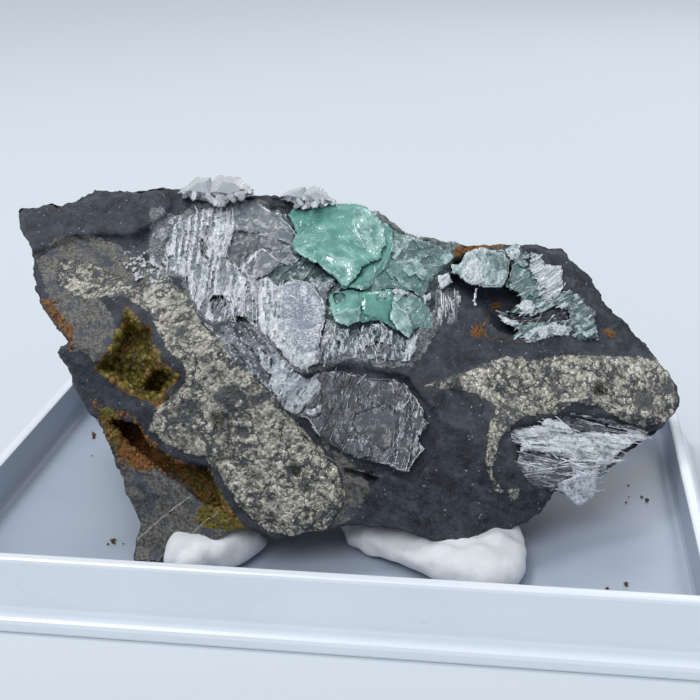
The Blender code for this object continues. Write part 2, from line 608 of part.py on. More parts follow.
def build_vug_crust(collection, cutters, finish):
    """The rounded crust in the vug: one body of grown-together balls on a low floor."""
    parts = bpy.data.collections.new("vug_crust_balls")
    cutters.children.link(parts)
    outline = [(VUG_MIDDLE[0] + 0.72 * (u - VUG_MIDDLE[0]), VUG_MIDDLE[1] + 0.72 * (v - VUG_MIDDLE[1]))
               for u, v in HOLLOWS["vug"][0]]
    floor = crystal("vug_crust", outline, collection, rise=0.6, relief=0.6)
    for i, (u, v, near, size) in enumerate(vug_balls()):
        bm = bmesh.new()
        bmesh.ops.create_icosphere(bm, subdivisions=1, radius=size * MM)
        bm.transform(Matrix.Translation(place(u, v, near)) @ Matrix.Rotation(i * 0.7, 4, "Z"))
        new_object(f"vug_ball_{i}", as_mesh(bm, "vug_ball"), parts)
    hide_cutters(parts)
    boolean(floor, "UNION", parts)
    settle(floor)
    keep_largest(floor)
    tidy(floor)
    floor.data.materials.clear()
    floor.data.materials.append(finish)
    return floor


def swollen(rock, cutters):
    """The room that the rock takes in the putty: the rock, a gap larger all round."""
    room = new_object("rock_room", rock.data.copy(), cutters)
    swell = room.modifiers.new("swell", "DISPLACE")
    swell.strength = (GAP + 0.1) * MM
    swell.mid_level = 0.0
    room.hide_render = True
    room.display_type = "WIRE"
    return room


def build_putty(name, outline, top, toward, collection, room, finish):
    """A blob of putty: a pillow on the floor of the box, hollowed where the rock is pressed into it."""
    floor = (FLOOR + GAP) * MM
    bm = bmesh.new()
    mid = Vector((sum(x for x, y in outline) / len(outline), sum(y for x, y in outline) / len(outline)))
    rings = []
    height = top * MM - floor
    for scale, level in ((0.93, 0.0), (1.0, 0.28), (0.97, 0.62), (0.84, 0.88), (0.5, 1.0)):
        ring = []
        for x, y in outline:
            spot = mid + (Vector((x, y)) - mid) * scale + Vector(toward) * level
            ring.append(bm.verts.new((spot.x * MM, spot.y * MM, floor + level * height)))
        rings.append(ring)
    bridge(bm, rings)
    blob = new_object(name, as_mesh(bm, name), collection, finish)
    smooth = blob.modifiers.new("smooth", "SUBSURF")
    smooth.levels = 1
    smooth.render_levels = 1
    cut(blob, room)
    settle(blob)
    keep_largest(blob)
    lay_flat(blob, floor)
    return blob


def lay_flat(blob, floor):
    """Presses the corners nearest to the floor onto it."""
    for vertex in blob.data.vertices:
        if vertex.co.z < floor + 0.25 * MM:
            vertex.co.z = floor


def box_solid(name, width, depth, low, high, collection, rounding=0.0):
    """A cuboid about the middle line with rounded upright edges."""
    bm = bmesh.new()
    bmesh.ops.create_cube(bm, size=1.0)
    bmesh.ops.scale(bm, vec=(width * MM, depth * MM, (high - low) * MM), verts=bm.verts)
    bmesh.ops.translate(bm, vec=(0.0, 0.0, (high + low) / 2.0 * MM), verts=bm.verts)
    upright = [e for e in bm.edges if abs(e.verts[0].co.z - e.verts[1].co.z) > 0.5 * (high - low) * MM]
    if rounding:
        bmesh.ops.bevel(bm, geom=upright, offset=rounding * MM, segments=4, profile=0.5, affect="EDGES")
    return new_object(name, as_mesh(bm, name), collection)


def build_box_base(collection, cutters, finish):
    """The box base: a tray with a low ledge around its foot."""
    base = box_solid("box_base", BOX_WIDTH, BOX_DEPTH, 0.0, BOX_HEIGHT, collection, rounding=2.0)
    aids = bpy.data.collections.new("box_aids")
    cutters.children.link(aids)
    ledge = box_solid("box_ledge", BOX_WIDTH + 2 * LEDGE, BOX_DEPTH + 2 * LEDGE, 0.0, LEDGE_HEIGHT, aids, rounding=3.0)
    bevel = ledge.modifiers.new("rounded", "BEVEL")
    bevel.width = LEDGE_ROUND * MM
    bevel.segments = 2
    bevel.limit_method = "ANGLE"
    bevel.angle_limit = math.radians(60)
    joined = base.modifiers.new("ledge", "BOOLEAN")
    joined.operation = "UNION"
    joined.object = ledge
    inner = (BOX_WIDTH - 2 * WALL, BOX_DEPTH - 2 * WALL)
    hollow = box_solid("box_hollow", *inner, FLOOR, BOX_HEIGHT + 5.0, aids, rounding=1.2)
    emptied = base.modifiers.new("hollow", "BOOLEAN")
    emptied.operation = "DIFFERENCE"
    emptied.object = hollow
    hide_cutters(aids)
    base.data.materials.append(finish)
    return base


def main():
    """Builds every piece."""
    for old in list(bpy.data.objects):
        bpy.data.objects.remove(old, do_unlink=True)
    scene = bpy.context.scene
    parts = bpy.data.collections.new("phosphophyllite_specimen")
    cutters = bpy.data.collections.new("cutters")
    scene.collection.children.link(parts)
    scene.collection.children.link(cutters)

    slate = material("slate_and_pyrite", (0.17, 0.18, 0.20), 0.75)
    green = material("phosphophyllite", (0.33, 0.66, 0.55), 0.15, transmission=0.6)
    clear = material("clear_crystal", (0.80, 0.84, 0.88), 0.12, transmission=0.8)
    pale = material("pale_green_crystal", (0.60, 0.74, 0.68), 0.2, transmission=0.6)
    smoky = material("dark_clear_plate", (0.45, 0.47, 0.48), 0.15, transmission=0.6)
    fibre = material("white_fibre", (0.78, 0.81, 0.85), 0.35)
    crust = material("olive_crust", (0.32, 0.26, 0.06), 0.4)
    putty = material("putty", (0.82, 0.81, 0.78), 0.8)
    plastic = material("white_plastic", (0.80, 0.84, 0.90), 0.3)

    clusters = {
        "phosphophyllite_upper": (UPPER_GREEN, green),
        "phosphophyllite_lower": (LOWER_GREEN, green),
        "clear_blades": (
            CLEAR_PLATES + tuple(fan(3, 18, CLEAR_CORNERS, (3.2, 6.5), (0.9, 1.8), 0.1, relief=0.5, rise=4.6)), clear),
        "pale_crystals": (PALE_RIGHT, pale),
        "bladed_crystals": (
            (seat(((21.4, 11.0), (24.4, 9.8), (27.4, 4.4), (26.0, 2.2), (20.4, 3.2), (21.6, 8.0)), 0.6),)
            + tuple(fan(8, 15, BLADED_CORNERS, (2.6, 5.0), (0.9, 1.6), 0.95, relief=0.5, rise=3.2, sway=0.5)), pale),
        "green_druse": (
            (seat(((6.4, 9.8), (10.0, 11.4), (10.0, 4.6), (8.8, 4.0), (7.4, 7.6)), 0.6),)
            + tuple(fan(5, 11, DRUSE_CORNERS, (1.6, 2.8), (1.1, 1.9), 0.4, relief=0.7, rise=3.4, sway=0.9)), pale),
        "olive_blades": (
            (seat(((-2.2, 2.0), (4.6, 1.9), (6.8, 0.8), (6.4, -0.6), (3.0, -0.5), (-1.8, -0.8)), 0.5),)
            + tuple(fan(6, 8, OLIVE_CORNERS, (1.8, 2.8), (0.6, 1.1), -0.15, relief=0.5, rise=2.6, sway=0.5)), smoky),
        "fibrous_crystals": (
            (seat(((21.6, -11.2), (26.0, -9.9), (35.6, -10.8), (33.4, -13.4), (28.6, -17.6), (22.4, -15.0)), 0.5),)
            + tuple(fan(9, 15, FIBRE_CORNERS, (4.0, 8.0), (0.6, 1.2), 1.62, relief=0.4, rise=1.4, sway=0.07)), fibre),
        "back_crystals_left": (BACK_CLUMPS["back_crystals_left"], clear),
        "back_crystals_right": (BACK_CLUMPS["back_crystals_right"], clear),
    }
    for name, (settings, finish) in clusters.items():
        build_cluster(name, settings, parts, cutters, finish)
    rock = build_rock(parts, cutters, slate)
    room = swollen(rock, cutters)
    build_putty("putty_left", PUTTY_LEFT, 8.6, (0.0, 1.0), parts, room, putty)
    build_putty("putty_right", PUTTY_RIGHT, 9.6, (0.0, 2.0), parts, room, putty)
    build_plate(parts, smoky)
    build_vug_crust(parts, cutters, crust)
    build_box_base(parts, cutters, plastic)


if __name__ == "__main__":
    main()
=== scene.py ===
"""Dresses a phosphophyllite specimen: crystals on slate and pyrite, on putty in a shallow white box base."""
from __future__ import annotations

import logging
import math
import random
from dataclasses import dataclass, field
from enum import Enum
from typing import Iterable, Sequence

import bmesh
import bpy
import numpy as np
from mathutils import Matrix, Vector, noise
from mathutils.bvhtree import BVHTree


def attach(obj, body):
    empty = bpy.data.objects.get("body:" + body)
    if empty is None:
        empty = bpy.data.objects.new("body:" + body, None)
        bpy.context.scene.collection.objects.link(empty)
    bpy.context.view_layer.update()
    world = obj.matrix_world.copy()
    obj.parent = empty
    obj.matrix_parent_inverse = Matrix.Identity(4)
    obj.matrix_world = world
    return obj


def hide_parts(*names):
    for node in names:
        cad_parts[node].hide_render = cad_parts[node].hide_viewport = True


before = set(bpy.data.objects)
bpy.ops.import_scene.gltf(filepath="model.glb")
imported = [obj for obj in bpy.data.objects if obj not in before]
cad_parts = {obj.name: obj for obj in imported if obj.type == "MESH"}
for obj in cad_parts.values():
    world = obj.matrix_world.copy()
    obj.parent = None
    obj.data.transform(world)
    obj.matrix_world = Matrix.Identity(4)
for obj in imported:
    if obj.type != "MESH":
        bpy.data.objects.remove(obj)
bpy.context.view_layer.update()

LOG = logging.getLogger("specimen")
MM = 0.001
BODY = "root"
NOISE_SEED = 4  # Blender seeds its noise vectors from the clock where none is given

Spot = tuple[float, float]
Outline = Sequence[Spot]
Colour = tuple[float, float, float]


class Slot(Enum):
    """The record's material slots."""

    ROCK = "slate_and_pyrite"
    GREEN = "phosphophyllite"
    CLEAR = "clear_crystal"
    PALE = "pale_green_crystal"
    SMOKY = "dark_clear_plate"
    FIBRE = "white_fibre"
    CRUST = "olive_crust"
    PUTTY = "putty"
    PLASTIC = "white_plastic"


class Look(Enum):
    """What a grown mass looks like at each place; the values are mesh attributes."""

    MILK = "milk"
    # The dark attribute is painted shade: the dark of gaps, recesses and see-through windows.
    DARK = "dark"
    GREEN = "green"
    BLUE = "blue"


class Patch(Enum):
    """The kinds of mineral that show on the rock, as attributes of its mesh."""

    PYRITE = "pyrite"
    PALE = "pale_slate"
    RUST = "rust"
    OLIVE = "olive"
    FROST = "frost"
    BED = "crystal_bed"


@dataclass(frozen=True)
class ShowingSide:
    """The showing side's layout: right, up and near, in millimetres about a middle point.

    The middle point lies ``reach`` away from the eye. What is nearer covers more of the view.
    """

    eye: Vector = field(default_factory=lambda: Vector((23.0, -134.3, 78.6)))
    turn: float = math.radians(8.878)
    dip: float = math.radians(22.149)
    roll: float = math.radians(-1.39)
    reach: float = 150.25
    lens: float = 1202.0 / 700.0 * 36.0

    @property
    def forward(self) -> Vector:
        """The way the eye looks."""
        flat = math.cos(self.dip)
        return Vector((-math.sin(self.turn) * flat, math.cos(self.turn) * flat, -math.sin(self.dip)))

    @property
    def axes(self) -> tuple[Vector, Vector]:
        """The right and up directions."""
        level = Vector((math.cos(self.turn), math.sin(self.turn), 0.0))
        upright = level.cross(self.forward)
        right = math.cos(self.roll) * level + math.sin(self.roll) * upright
        up = -math.sin(self.roll) * level + math.cos(self.roll) * upright
        return right, up

    def place(self, right: float, up: float, near: float) -> Vector:
        """The point in metres that is seen at (right, up), that much nearer than the middle."""
        across, aloft = self.axes
        away = self.reach - near
        return (self.eye + away * (self.forward + (right * across + up * aloft) / self.reach)) * MM

    def place_all(self, seen: np.ndarray) -> np.ndarray:
        """The same for an array of (right, up, near) rows.

        Args:
            seen: One row for each point.

        Returns:
            The points in metres, one row each.
        """
        across, aloft = (np.array(axis) for axis in self.axes)
        away = self.reach - seen[:, 2:3]
        arm = np.array(self.forward) + (seen[:, 0:1] * across + seen[:, 1:2] * aloft) / self.reach
        return (np.array(self.eye) + away * arm) * MM

    def seen_all(self, points: np.ndarray) -> np.ndarray:
        """The (right, up, near) rows of points in metres.

        Args:
            points: One row for each point.

        Returns:
            One row of three for each point.
        """
        across, aloft = (np.array(axis) for axis in self.axes)
        arm = points / MM - np.array(self.eye)
        away = arm @ np.array(self.forward)
        scale = self.reach / away
        return np.stack((arm @ across * scale, arm @ aloft * scale, self.reach - away), axis=1)


SIDE = ShowingSide()
AWAY = np.array(SIDE.forward)


def smooth_step(value: np.ndarray | float) -> np.ndarray:
    """0 below 0, 1 above 1, and an even curve between them."""
    value = np.clip(value, 0.0, 1.0)
    return value * value * (3.0 - 2.0 * value)


def plane_near(corners: Sequence[Sequence[float]], right: np.ndarray, up: np.ndarray) -> np.ndarray:
    """How near the plane through three points lies.

    Args:
        corners: Three (right, up, near) points of the plane.
        right: Where it is asked for, to the right.
        up: Where it is asked for, upwards.

    Returns:
        The nearness at each place.
    """
    a, b, c = (np.array(corner, dtype=float) for corner in corners)
    normal = np.cross(b - a, c - a)
    return a[2] - (normal[0] * (right - a[0]) + normal[1] * (up - a[1])) / normal[2]


def inside_depth(right: np.ndarray, up: np.ndarray, outline: Outline) -> np.ndarray:
    """Distance to an outline, positive inside it.

    Args:
        right: Places to the right.
        up: Places upwards.
        outline: The corners in order.

    Returns:
        The signed distance at each place.
    """
    nearest = np.full(np.shape(right), np.inf)
    inside = np.zeros(np.shape(right), dtype=bool)
    before = outline[-1]
    for corner in outline:
        ex, ey = corner[0] - before[0], corner[1] - before[1]
        share = np.clip(((right - before[0]) * ex + (up - before[1]) * ey) / (ex * ex + ey * ey), 0.0, 1.0)
        nearest = np.minimum(nearest, np.hypot(right - before[0] - share * ex, up - before[1] - share * ey))
        if ey:
            crosses = (corner[1] > up) != (before[1] > up)
            inside ^= crosses & (right < -ex * (up - corner[1]) / -ey + corner[0])
        before = corner
    return np.where(inside, nearest, -nearest)


def as_mesh(bm: bmesh.types.BMesh, name: str) -> bpy.types.Mesh:
    """The bmesh as a mesh with its faces pointing out."""
    bmesh.ops.recalc_face_normals(bm, faces=bm.faces)
    mesh = bpy.data.meshes.new(name)
    bm.to_mesh(mesh)
    bm.free()
    return mesh


def settle(target: bpy.types.Object) -> None:
    """Replaces the object's mesh by what its modifiers make of it."""
    graph = bpy.context.evaluated_depsgraph_get()
    made = bpy.data.meshes.new_from_object(target.evaluated_get(graph))
    target.modifiers.clear()
    target.data = made


def link(name: str, mesh: bpy.types.Mesh) -> bpy.types.Object:
    """A new object of this mesh in the scene."""
    made = bpy.data.objects.new(name, mesh)
    bpy.context.scene.collection.objects.link(made)
    return made


def finish_piece(
    piece: bpy.types.Object,
    finish: bpy.types.Material,
    replaced: Iterable[str] = (),
    smooth: bool = False,
) -> bpy.types.Object:
    """Dresses a piece, ties it to the body and reports it.

    Args:
        piece: The object.
        finish: Its material.
        replaced: The CAD nodes it stands for.
        smooth: Whether its faces are shaded as one curved surface.

    Returns:
        The same object.
    """
    piece.data.materials.clear()
    piece.data.materials.append(finish)
    piece.data.polygons.foreach_set("use_smooth", [smooth] * len(piece.data.polygons))
    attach(piece, BODY)
    names = tuple(replaced)
    if names:
        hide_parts(*names)
    LOG.info("%s: %d faces", piece.name, len(piece.data.polygons))
    return piece


# Finishes


class Sheet:
    """A node tree that is filled from left to right."""

    def __init__(self, tree: bpy.types.NodeTree) -> None:
        self.tree = tree

    def add(self, kind: str, settings: dict[str, object] | None = None, **inputs: object) -> bpy.types.Node:
        """Adds a node.

        Args:
            kind: The node's type without the word ShaderNode.
            settings: Properties of the node itself.
            **inputs: Values or sockets for its inputs. An underscore stands for a space, and a number after
                a last underscore picks an input by its place.

        Returns:
            The node.
        """
        node = self.tree.nodes.new("ShaderNode" + kind)
        for key, value in (settings or {}).items():
            setattr(node, key, value)
        for key, value in inputs.items():
            place = int(key[3:]) if key.startswith("in_") else key.replace("_", " ")
            socket = node.inputs[place]
            if isinstance(value, bpy.types.NodeSocket):
                self.tree.links.new(value, socket)
            else:
                socket.default_value = value
        return node

    def maths(
        self, what: str, first: object, second: object = 0.0, third: object = 0.0
    ) -> bpy.types.NodeSocket:
        """The result of a Math node."""
        node = self.add("Math", {"operation": what}, in_0=first, in_1=second, in_2=third)
        return node.outputs[0]

    def noise(self, where: object, scale: float, detail: float = 4.0, rough: float = 0.55,
              distortion: float = 0.0) -> bpy.types.NodeSocket:
        """The value of a noise texture."""
        node = self.add("TexNoise", Vector=where, Scale=scale, Detail=detail, Roughness=rough,
                        Distortion=distortion)
        return node.outputs["Fac"]

    def spread(self, value: object, low: float, high: float, to_low: float = 0.0,
               to_high: float = 1.0) -> bpy.types.NodeSocket:
        """The value mapped from one range to another with soft ends."""
        node = self.add("MapRange", {"interpolation_type": "SMOOTHSTEP"}, Value=value,
                        From_Min=low, From_Max=high,
                        To_Min=to_low, To_Max=to_high)
        return node.outputs["Result"]

    def mix(self, share: object, first: object, second: object) -> bpy.types.NodeSocket:
        """A colour between two colours."""
        node = self.add("Mix", {"data_type": "RGBA"})
        for place, value in ((0, share), (6, first), (7, second)):
            if isinstance(value, bpy.types.NodeSocket):
                self.tree.links.new(value, node.inputs[place])
            else:
                node.inputs[place].default_value = (*value, 1.0) if isinstance(value, tuple) else value
        return node.outputs[2]

    def attribute(self, name: str) -> bpy.types.NodeSocket:
        """The value of a mesh attribute."""
        return self.add("Attribute", {"attribute_name": name}).outputs["Fac"]

    def group(self, tree: bpy.types.NodeTree, **inputs: object) -> bpy.types.Node:
        """Places a node group."""
        node = self.add("Group", {"node_tree": tree})
        for key, value in inputs.items():
            socket = node.inputs[key]
            if isinstance(value, bpy.types.NodeSocket):
                self.tree.links.new(value, socket)
            else:
                socket.default_value = value
        return node


def new_group(
    name: str, inputs: dict[str, str], outputs: dict[str, str]
) -> tuple[Sheet, dict, bpy.types.Node]:
    """Starts a node group.

    Args:
        name: The group's name.
        inputs: Socket type for each input name.
        outputs: Socket type for each output name.

    Returns:
        The group's sheet, its input sockets by name and its output node.
    """
    tree = bpy.data.node_groups.new(name, "ShaderNodeTree")
    for direction, sockets in (("INPUT", inputs), ("OUTPUT", outputs)):
        for label, kind in sockets.items():
            tree.interface.new_socket(label, in_out=direction, socket_type="NodeSocket" + kind)
    entry = tree.nodes.new("NodeGroupInput")
    leave = tree.nodes.new("NodeGroupOutput")
    return Sheet(tree), {socket.name: socket for socket in entry.outputs if socket.name}, leave


@dataclass
class Effects:
    """The node groups that several finishes share."""

    ragged: bpy.types.NodeTree = field(init=False)
    grains: bpy.types.NodeTree = field(init=False)
    specks: bpy.types.NodeTree = field(init=False)
    streaks: bpy.types.NodeTree = field(init=False)
    chips: bpy.types.NodeTree = field(init=False)

    def __post_init__(self) -> None:
        self.ragged = self._ragged()
        self.grains = self._grains()
        self.specks = self._specks()
        self.streaks = self._streaks()
        self.chips = self._chips()

    def _ragged(self) -> bpy.types.NodeTree:
        """A patch's mask with a broken edge."""
        sheet, given, leave = new_group(
            "ragged_edge", {"Mask": "Float", "Where": "Vector", "Scale": "Float", "Spread": "Float"},
            {"Mask": "Float"})
        rough = sheet.add("TexNoise", Vector=given["Where"], Scale=given["Scale"], Detail=5.0, Roughness=0.65)
        shift = sheet.maths("SUBTRACT", rough.outputs["Fac"], 0.5)
        shift = sheet.maths("MULTIPLY_ADD", shift, given["Spread"], given["Mask"])
        sheet.tree.links.new(sheet.spread(shift, 0.42, 0.58), leave.inputs["Mask"])
        return sheet.tree

    def _grains(self) -> bpy.types.NodeTree:
        """Packed grains: a tone of its own for each, and their rounded height."""
        sheet, given, leave = new_group(
            "packed_grains", {"Where": "Vector", "Scale": "Float"}, {"Tone": "Float", "Height": "Float"})
        warp = sheet.add("TexNoise", Vector=given["Where"], Scale=600.0, Detail=2.0)
        bent = sheet.add("VectorMath", {"operation": "SCALE"}, in_0=warp.outputs["Color"], Scale=0.0006)
        where = sheet.add("VectorMath", {"operation": "ADD"}, in_0=given["Where"], in_1=bent.outputs[0])
        cells = sheet.add("TexVoronoi", Vector=where.outputs[0], Scale=given["Scale"])
        tone = sheet.add("SeparateColor", Color=cells.outputs["Color"])
        sheet.tree.links.new(tone.outputs[0], leave.inputs["Tone"])
        height = sheet.maths("SUBTRACT", 1.0, cells.outputs["Distance"])
        tilt = sheet.maths("MULTIPLY_ADD", tone.outputs[1], 0.6, height)
        sheet.tree.links.new(tilt, leave.inputs["Height"])
        return sheet.tree

    def _specks(self) -> bpy.types.NodeTree:
        """Scattered small specks."""
        sheet, given, leave = new_group(
            "specks", {"Where": "Vector", "Scale": "Float", "Share": "Float"}, {"Mask": "Float"})
        cells = sheet.add("TexVoronoi", Vector=given["Where"], Scale=given["Scale"])
        tone = sheet.add("SeparateColor", Color=cells.outputs["Color"])
        chosen = sheet.maths("LESS_THAN", tone.outputs[2], given["Share"])
        near = sheet.spread(cells.outputs["Distance"], 0.45, 0.25)
        sheet.tree.links.new(sheet.maths("MULTIPLY", chosen, near), leave.inputs["Mask"])
        return sheet.tree

    def _chips(self) -> bpy.types.NodeTree:
        """Small flat chips, each tipped its own way, as a height in metres."""
        sheet, given, leave = new_group("tipped_chips", {"Where": "Vector", "Scale": "Float"},
                                        {"Height": "Float"})
        cells = sheet.add("TexVoronoi", Vector=given["Where"], Scale=given["Scale"])
        arm = sheet.add("VectorMath", {"operation": "SUBTRACT"},
                    in_0=given["Where"], in_1=cells.outputs["Position"])
        tip = sheet.add("VectorMath", {"operation": "SUBTRACT"},
                    in_0=cells.outputs["Color"], in_1=(0.5, 0.5, 0.5))
        height = sheet.add("VectorMath", {"operation": "DOT_PRODUCT"},
                    in_0=arm.outputs[0], in_1=tip.outputs[0])
        sheet.tree.links.new(height.outputs["Value"], leave.inputs["Height"])
        return sheet.tree

    def _streaks(self) -> bpy.types.NodeTree:
        """Fine streaks that run along one direction."""
        sheet, given, leave = new_group(
            "streaks", {"Where": "Vector", "Turn": "Vector", "Across": "Float", "Along": "Float"},
            {"Value": "Float"})
        turned = sheet.add("VectorRotate", {"rotation_type": "EULER_XYZ"}, Vector=given["Where"],
                           Rotation=given["Turn"])
        scale = sheet.add("CombineXYZ", X=given["Across"], Y=given["Across"], Z=given["Along"])
        where = sheet.add("VectorMath", {"operation": "MULTIPLY"},
                    in_0=turned.outputs[0], in_1=scale.outputs[0])
        lines = sheet.add("TexNoise", Vector=where.outputs[0], Scale=1.0, Detail=3.0, Roughness=0.6)
        sheet.tree.links.new(lines.outputs["Fac"], leave.inputs["Value"])
        return sheet.tree


def new_finish(name: str) -> tuple[bpy.types.Material, Sheet, bpy.types.Node, bpy.types.NodeSocket]:
    """Starts a material: the material, its sheet, its shader and the object coordinates."""
    made = bpy.data.materials.new(name)
    made.use_nodes = True
    sheet = Sheet(made.node_tree)
    where = sheet.add("TexCoord").outputs["Object"]
    return made, sheet, made.node_tree.nodes["Principled BSDF"], where


@dataclass(frozen=True)
class RockFinish:
    """Slate with pyrite, rust, olive stain and frosty druse, each where its attribute says."""

    slate_dark: Colour = (0.016, 0.020, 0.028)
    slate_light: Colour = (0.072, 0.084, 0.115)
    slate_grain: Colour = (0.115, 0.130, 0.165)
    pale_dark: Colour = (0.055, 0.058, 0.062)
    pale_light: Colour = (0.26, 0.25, 0.22)
    pyrite_dark: Colour = (0.23, 0.22, 0.19)
    pyrite_light: Colour = (0.95, 0.91, 0.78)
    rust_dark: Colour = (0.045, 0.018, 0.004)
    rust_light: Colour = (0.30, 0.12, 0.020)
    olive_dark: Colour = (0.035, 0.028, 0.004)
    olive_light: Colour = (0.28, 0.22, 0.03)
    frost: Colour = (0.62, 0.68, 0.70)
    bed_dark: Colour = (0.06, 0.07, 0.07)
    bed_light: Colour = (0.30, 0.34, 0.35)

    def make(self, effects: Effects) -> bpy.types.Material:
        """The rock's material."""
        made, sheet, shader, where = new_finish("slate_and_pyrite_rock")
        masks = {
            patch: sheet.group(effects.ragged, Mask=sheet.attribute(patch.value), Where=where, Scale=650.0,
                               Spread=1.5).outputs[0]
            for patch in Patch
        }
        tone = sheet.noise(where, 420.0, 6.0, 0.65)
        fine = sheet.noise(where, 2600.0, 4.0, 0.7)
        layers = sheet.group(effects.streaks, Where=where, Turn=(0.5, 0.4, 0.0), Across=900.0, Along=160.0)
        beds = layers.outputs[0]
        colour = sheet.mix(sheet.spread(tone, 0.32, 0.80), self.slate_dark, self.slate_light)
        grain = sheet.noise(where, 5200.0, 3.0, 0.8)
        colour = sheet.mix(sheet.spread(grain, 0.50, 0.70, 0.0, 0.75), colour, self.slate_grain)
        colour = sheet.mix(sheet.spread(beds, 0.56, 0.74, 0.0, 0.55), colour, (0.10, 0.11, 0.13))
        pinpricks = sheet.group(effects.specks, Where=where, Scale=3400.0, Share=0.02).outputs[0]
        colour = sheet.mix(sheet.maths("MULTIPLY", pinpricks, 0.8), colour, (0.45, 0.48, 0.52))

        pale = sheet.mix(sheet.spread(fine, 0.35, 0.65), self.pale_dark, self.pale_light)
        pale = sheet.mix(sheet.spread(tone, 0.52, 0.62), pale, self.slate_light)
        colour = sheet.mix(masks[Patch.PALE], colour, pale)

        bed = sheet.mix(sheet.spread(fine, 0.36, 0.64), self.bed_dark, self.bed_light)
        colour = sheet.mix(masks[Patch.BED], colour, bed)

        grains = sheet.group(effects.grains, Where=where, Scale=3000.0)
        coarse = sheet.group(effects.grains, Where=where, Scale=1500.0)
        shade = sheet.maths("MULTIPLY", grains.outputs["Tone"], sheet.spread(tone, 0.30, 0.62, 0.70, 1.30))
        brass = sheet.mix(shade, self.pyrite_dark, self.pyrite_light)
        gaps = sheet.spread(sheet.noise(where, 900.0, 5.0, 0.7), 0.36, 0.52)
        brass = sheet.mix(gaps, (0.075, 0.078, 0.085), brass)
        winding = sheet.noise(where, 230.0, 5.0, 0.55)
        veins = sheet.maths("ABSOLUTE", sheet.maths("SUBTRACT", winding, 0.5), 0.0)
        brass = sheet.mix(sheet.spread(veins, 0.010, 0.030, 0.85, 0.0), brass, (0.062, 0.070, 0.088))
        patches = sheet.spread(sheet.noise(where, 170.0, 6.0, 0.6), 0.57, 0.62, 0.0, 0.85)
        brass = sheet.mix(patches, brass, (0.085, 0.09, 0.10))
        colour = sheet.mix(masks[Patch.PYRITE], colour, brass)

        rust = sheet.mix(sheet.spread(fine, 0.35, 0.62), self.rust_dark, self.rust_light)
        colour = sheet.mix(masks[Patch.RUST], colour, rust)
        olive = sheet.mix(sheet.spread(fine, 0.35, 0.65), self.olive_dark, self.olive_light)
        colour = sheet.mix(masks[Patch.OLIVE], colour, olive)
        frosty = sheet.group(effects.specks, Where=where, Scale=2300.0, Share=0.45).outputs[0]
        frosty = sheet.maths("MULTIPLY", frosty, masks[Patch.FROST])
        colour = sheet.mix(frosty, colour, self.frost)
        sheet.tree.links.new(colour, shader.inputs["Base Color"])

        bright = sheet.maths("MULTIPLY", masks[Patch.PYRITE], gaps)
        bright = sheet.maths("MULTIPLY", bright, sheet.maths("SUBTRACT", 1.0, masks[Patch.RUST]))
        sheet.tree.links.new(sheet.maths("MULTIPLY", bright, 0.35), shader.inputs["Metallic"])
        rough = sheet.spread(grains.outputs["Tone"], 0.0, 1.0, 0.55, 0.24)
        gloss = sheet.spread(fine, 0.3, 0.7, 0.72, 0.46)
        rough = sheet.add("Mix", in_0=masks[Patch.PYRITE], in_2=gloss, in_3=rough).outputs[0]
        sheet.tree.links.new(rough, shader.inputs["Roughness"])

        grit = sheet.noise(where, 1500.0, 8.0, 0.75)
        relief = sheet.maths("MULTIPLY_ADD", beds, 0.7, grit)
        knobs = sheet.maths("MULTIPLY_ADD", coarse.outputs["Height"], 0.7, grains.outputs["Height"])
        relief = sheet.maths("MULTIPLY_ADD", sheet.maths("MULTIPLY", knobs, masks[Patch.PYRITE]), 0.8, relief)
        bump = sheet.add("Bump", Strength=1.0, Distance=0.00045, Height=relief)
        sheet.tree.links.new(bump.outputs[0], shader.inputs["Normal"])
        return made


@dataclass(frozen=True)
class CrystalFinish:
    """A see-through crystal with milky streaks in it."""

    name: str
    body: Colour = (0.84, 0.89, 0.95)
    milk: Colour = (1.0, 1.0, 1.0)
    see_through: float = 0.50
    roughness: float = 0.08
    turn: tuple[float, float, float] = (0.5, 0.1, 0.0)
    across: float = 2200.0
    along: float = 260.0
    milky: tuple[float, float] = (0.50, 0.66)
    ior: float = 1.60

    def make(self, effects: Effects) -> bpy.types.Material:
        """The crystal's material."""
        made, sheet, shader, where = new_finish(self.name)
        lines = sheet.group(effects.streaks, Where=where, Turn=self.turn, Across=self.across,
                            Along=self.along).outputs[0]
        clouds = sheet.noise(where, 500.0, 3.0)
        share = sheet.spread(sheet.maths("MULTIPLY_ADD", clouds, 0.35, lines), self.milky[0] + 0.17,
                             self.milky[1] + 0.17)
        colour = sheet.mix(share, self.body, self.milk)
        sheet.tree.links.new(colour, shader.inputs["Base Color"])
        rough = sheet.spread(lines, 0.4, 0.7, self.roughness, self.roughness + 0.28)
        sheet.tree.links.new(rough, shader.inputs["Roughness"])
        shader.inputs["Transmission Weight"].default_value = self.see_through
        shader.inputs["IOR"].default_value = self.ior
        steps = sheet.maths("MULTIPLY_ADD", clouds, 0.5, lines)
        bump = sheet.add("Bump", Strength=0.55, Distance=0.0002, Height=steps)
        sheet.tree.links.new(bump.outputs[0], shader.inputs["Normal"])
        return made


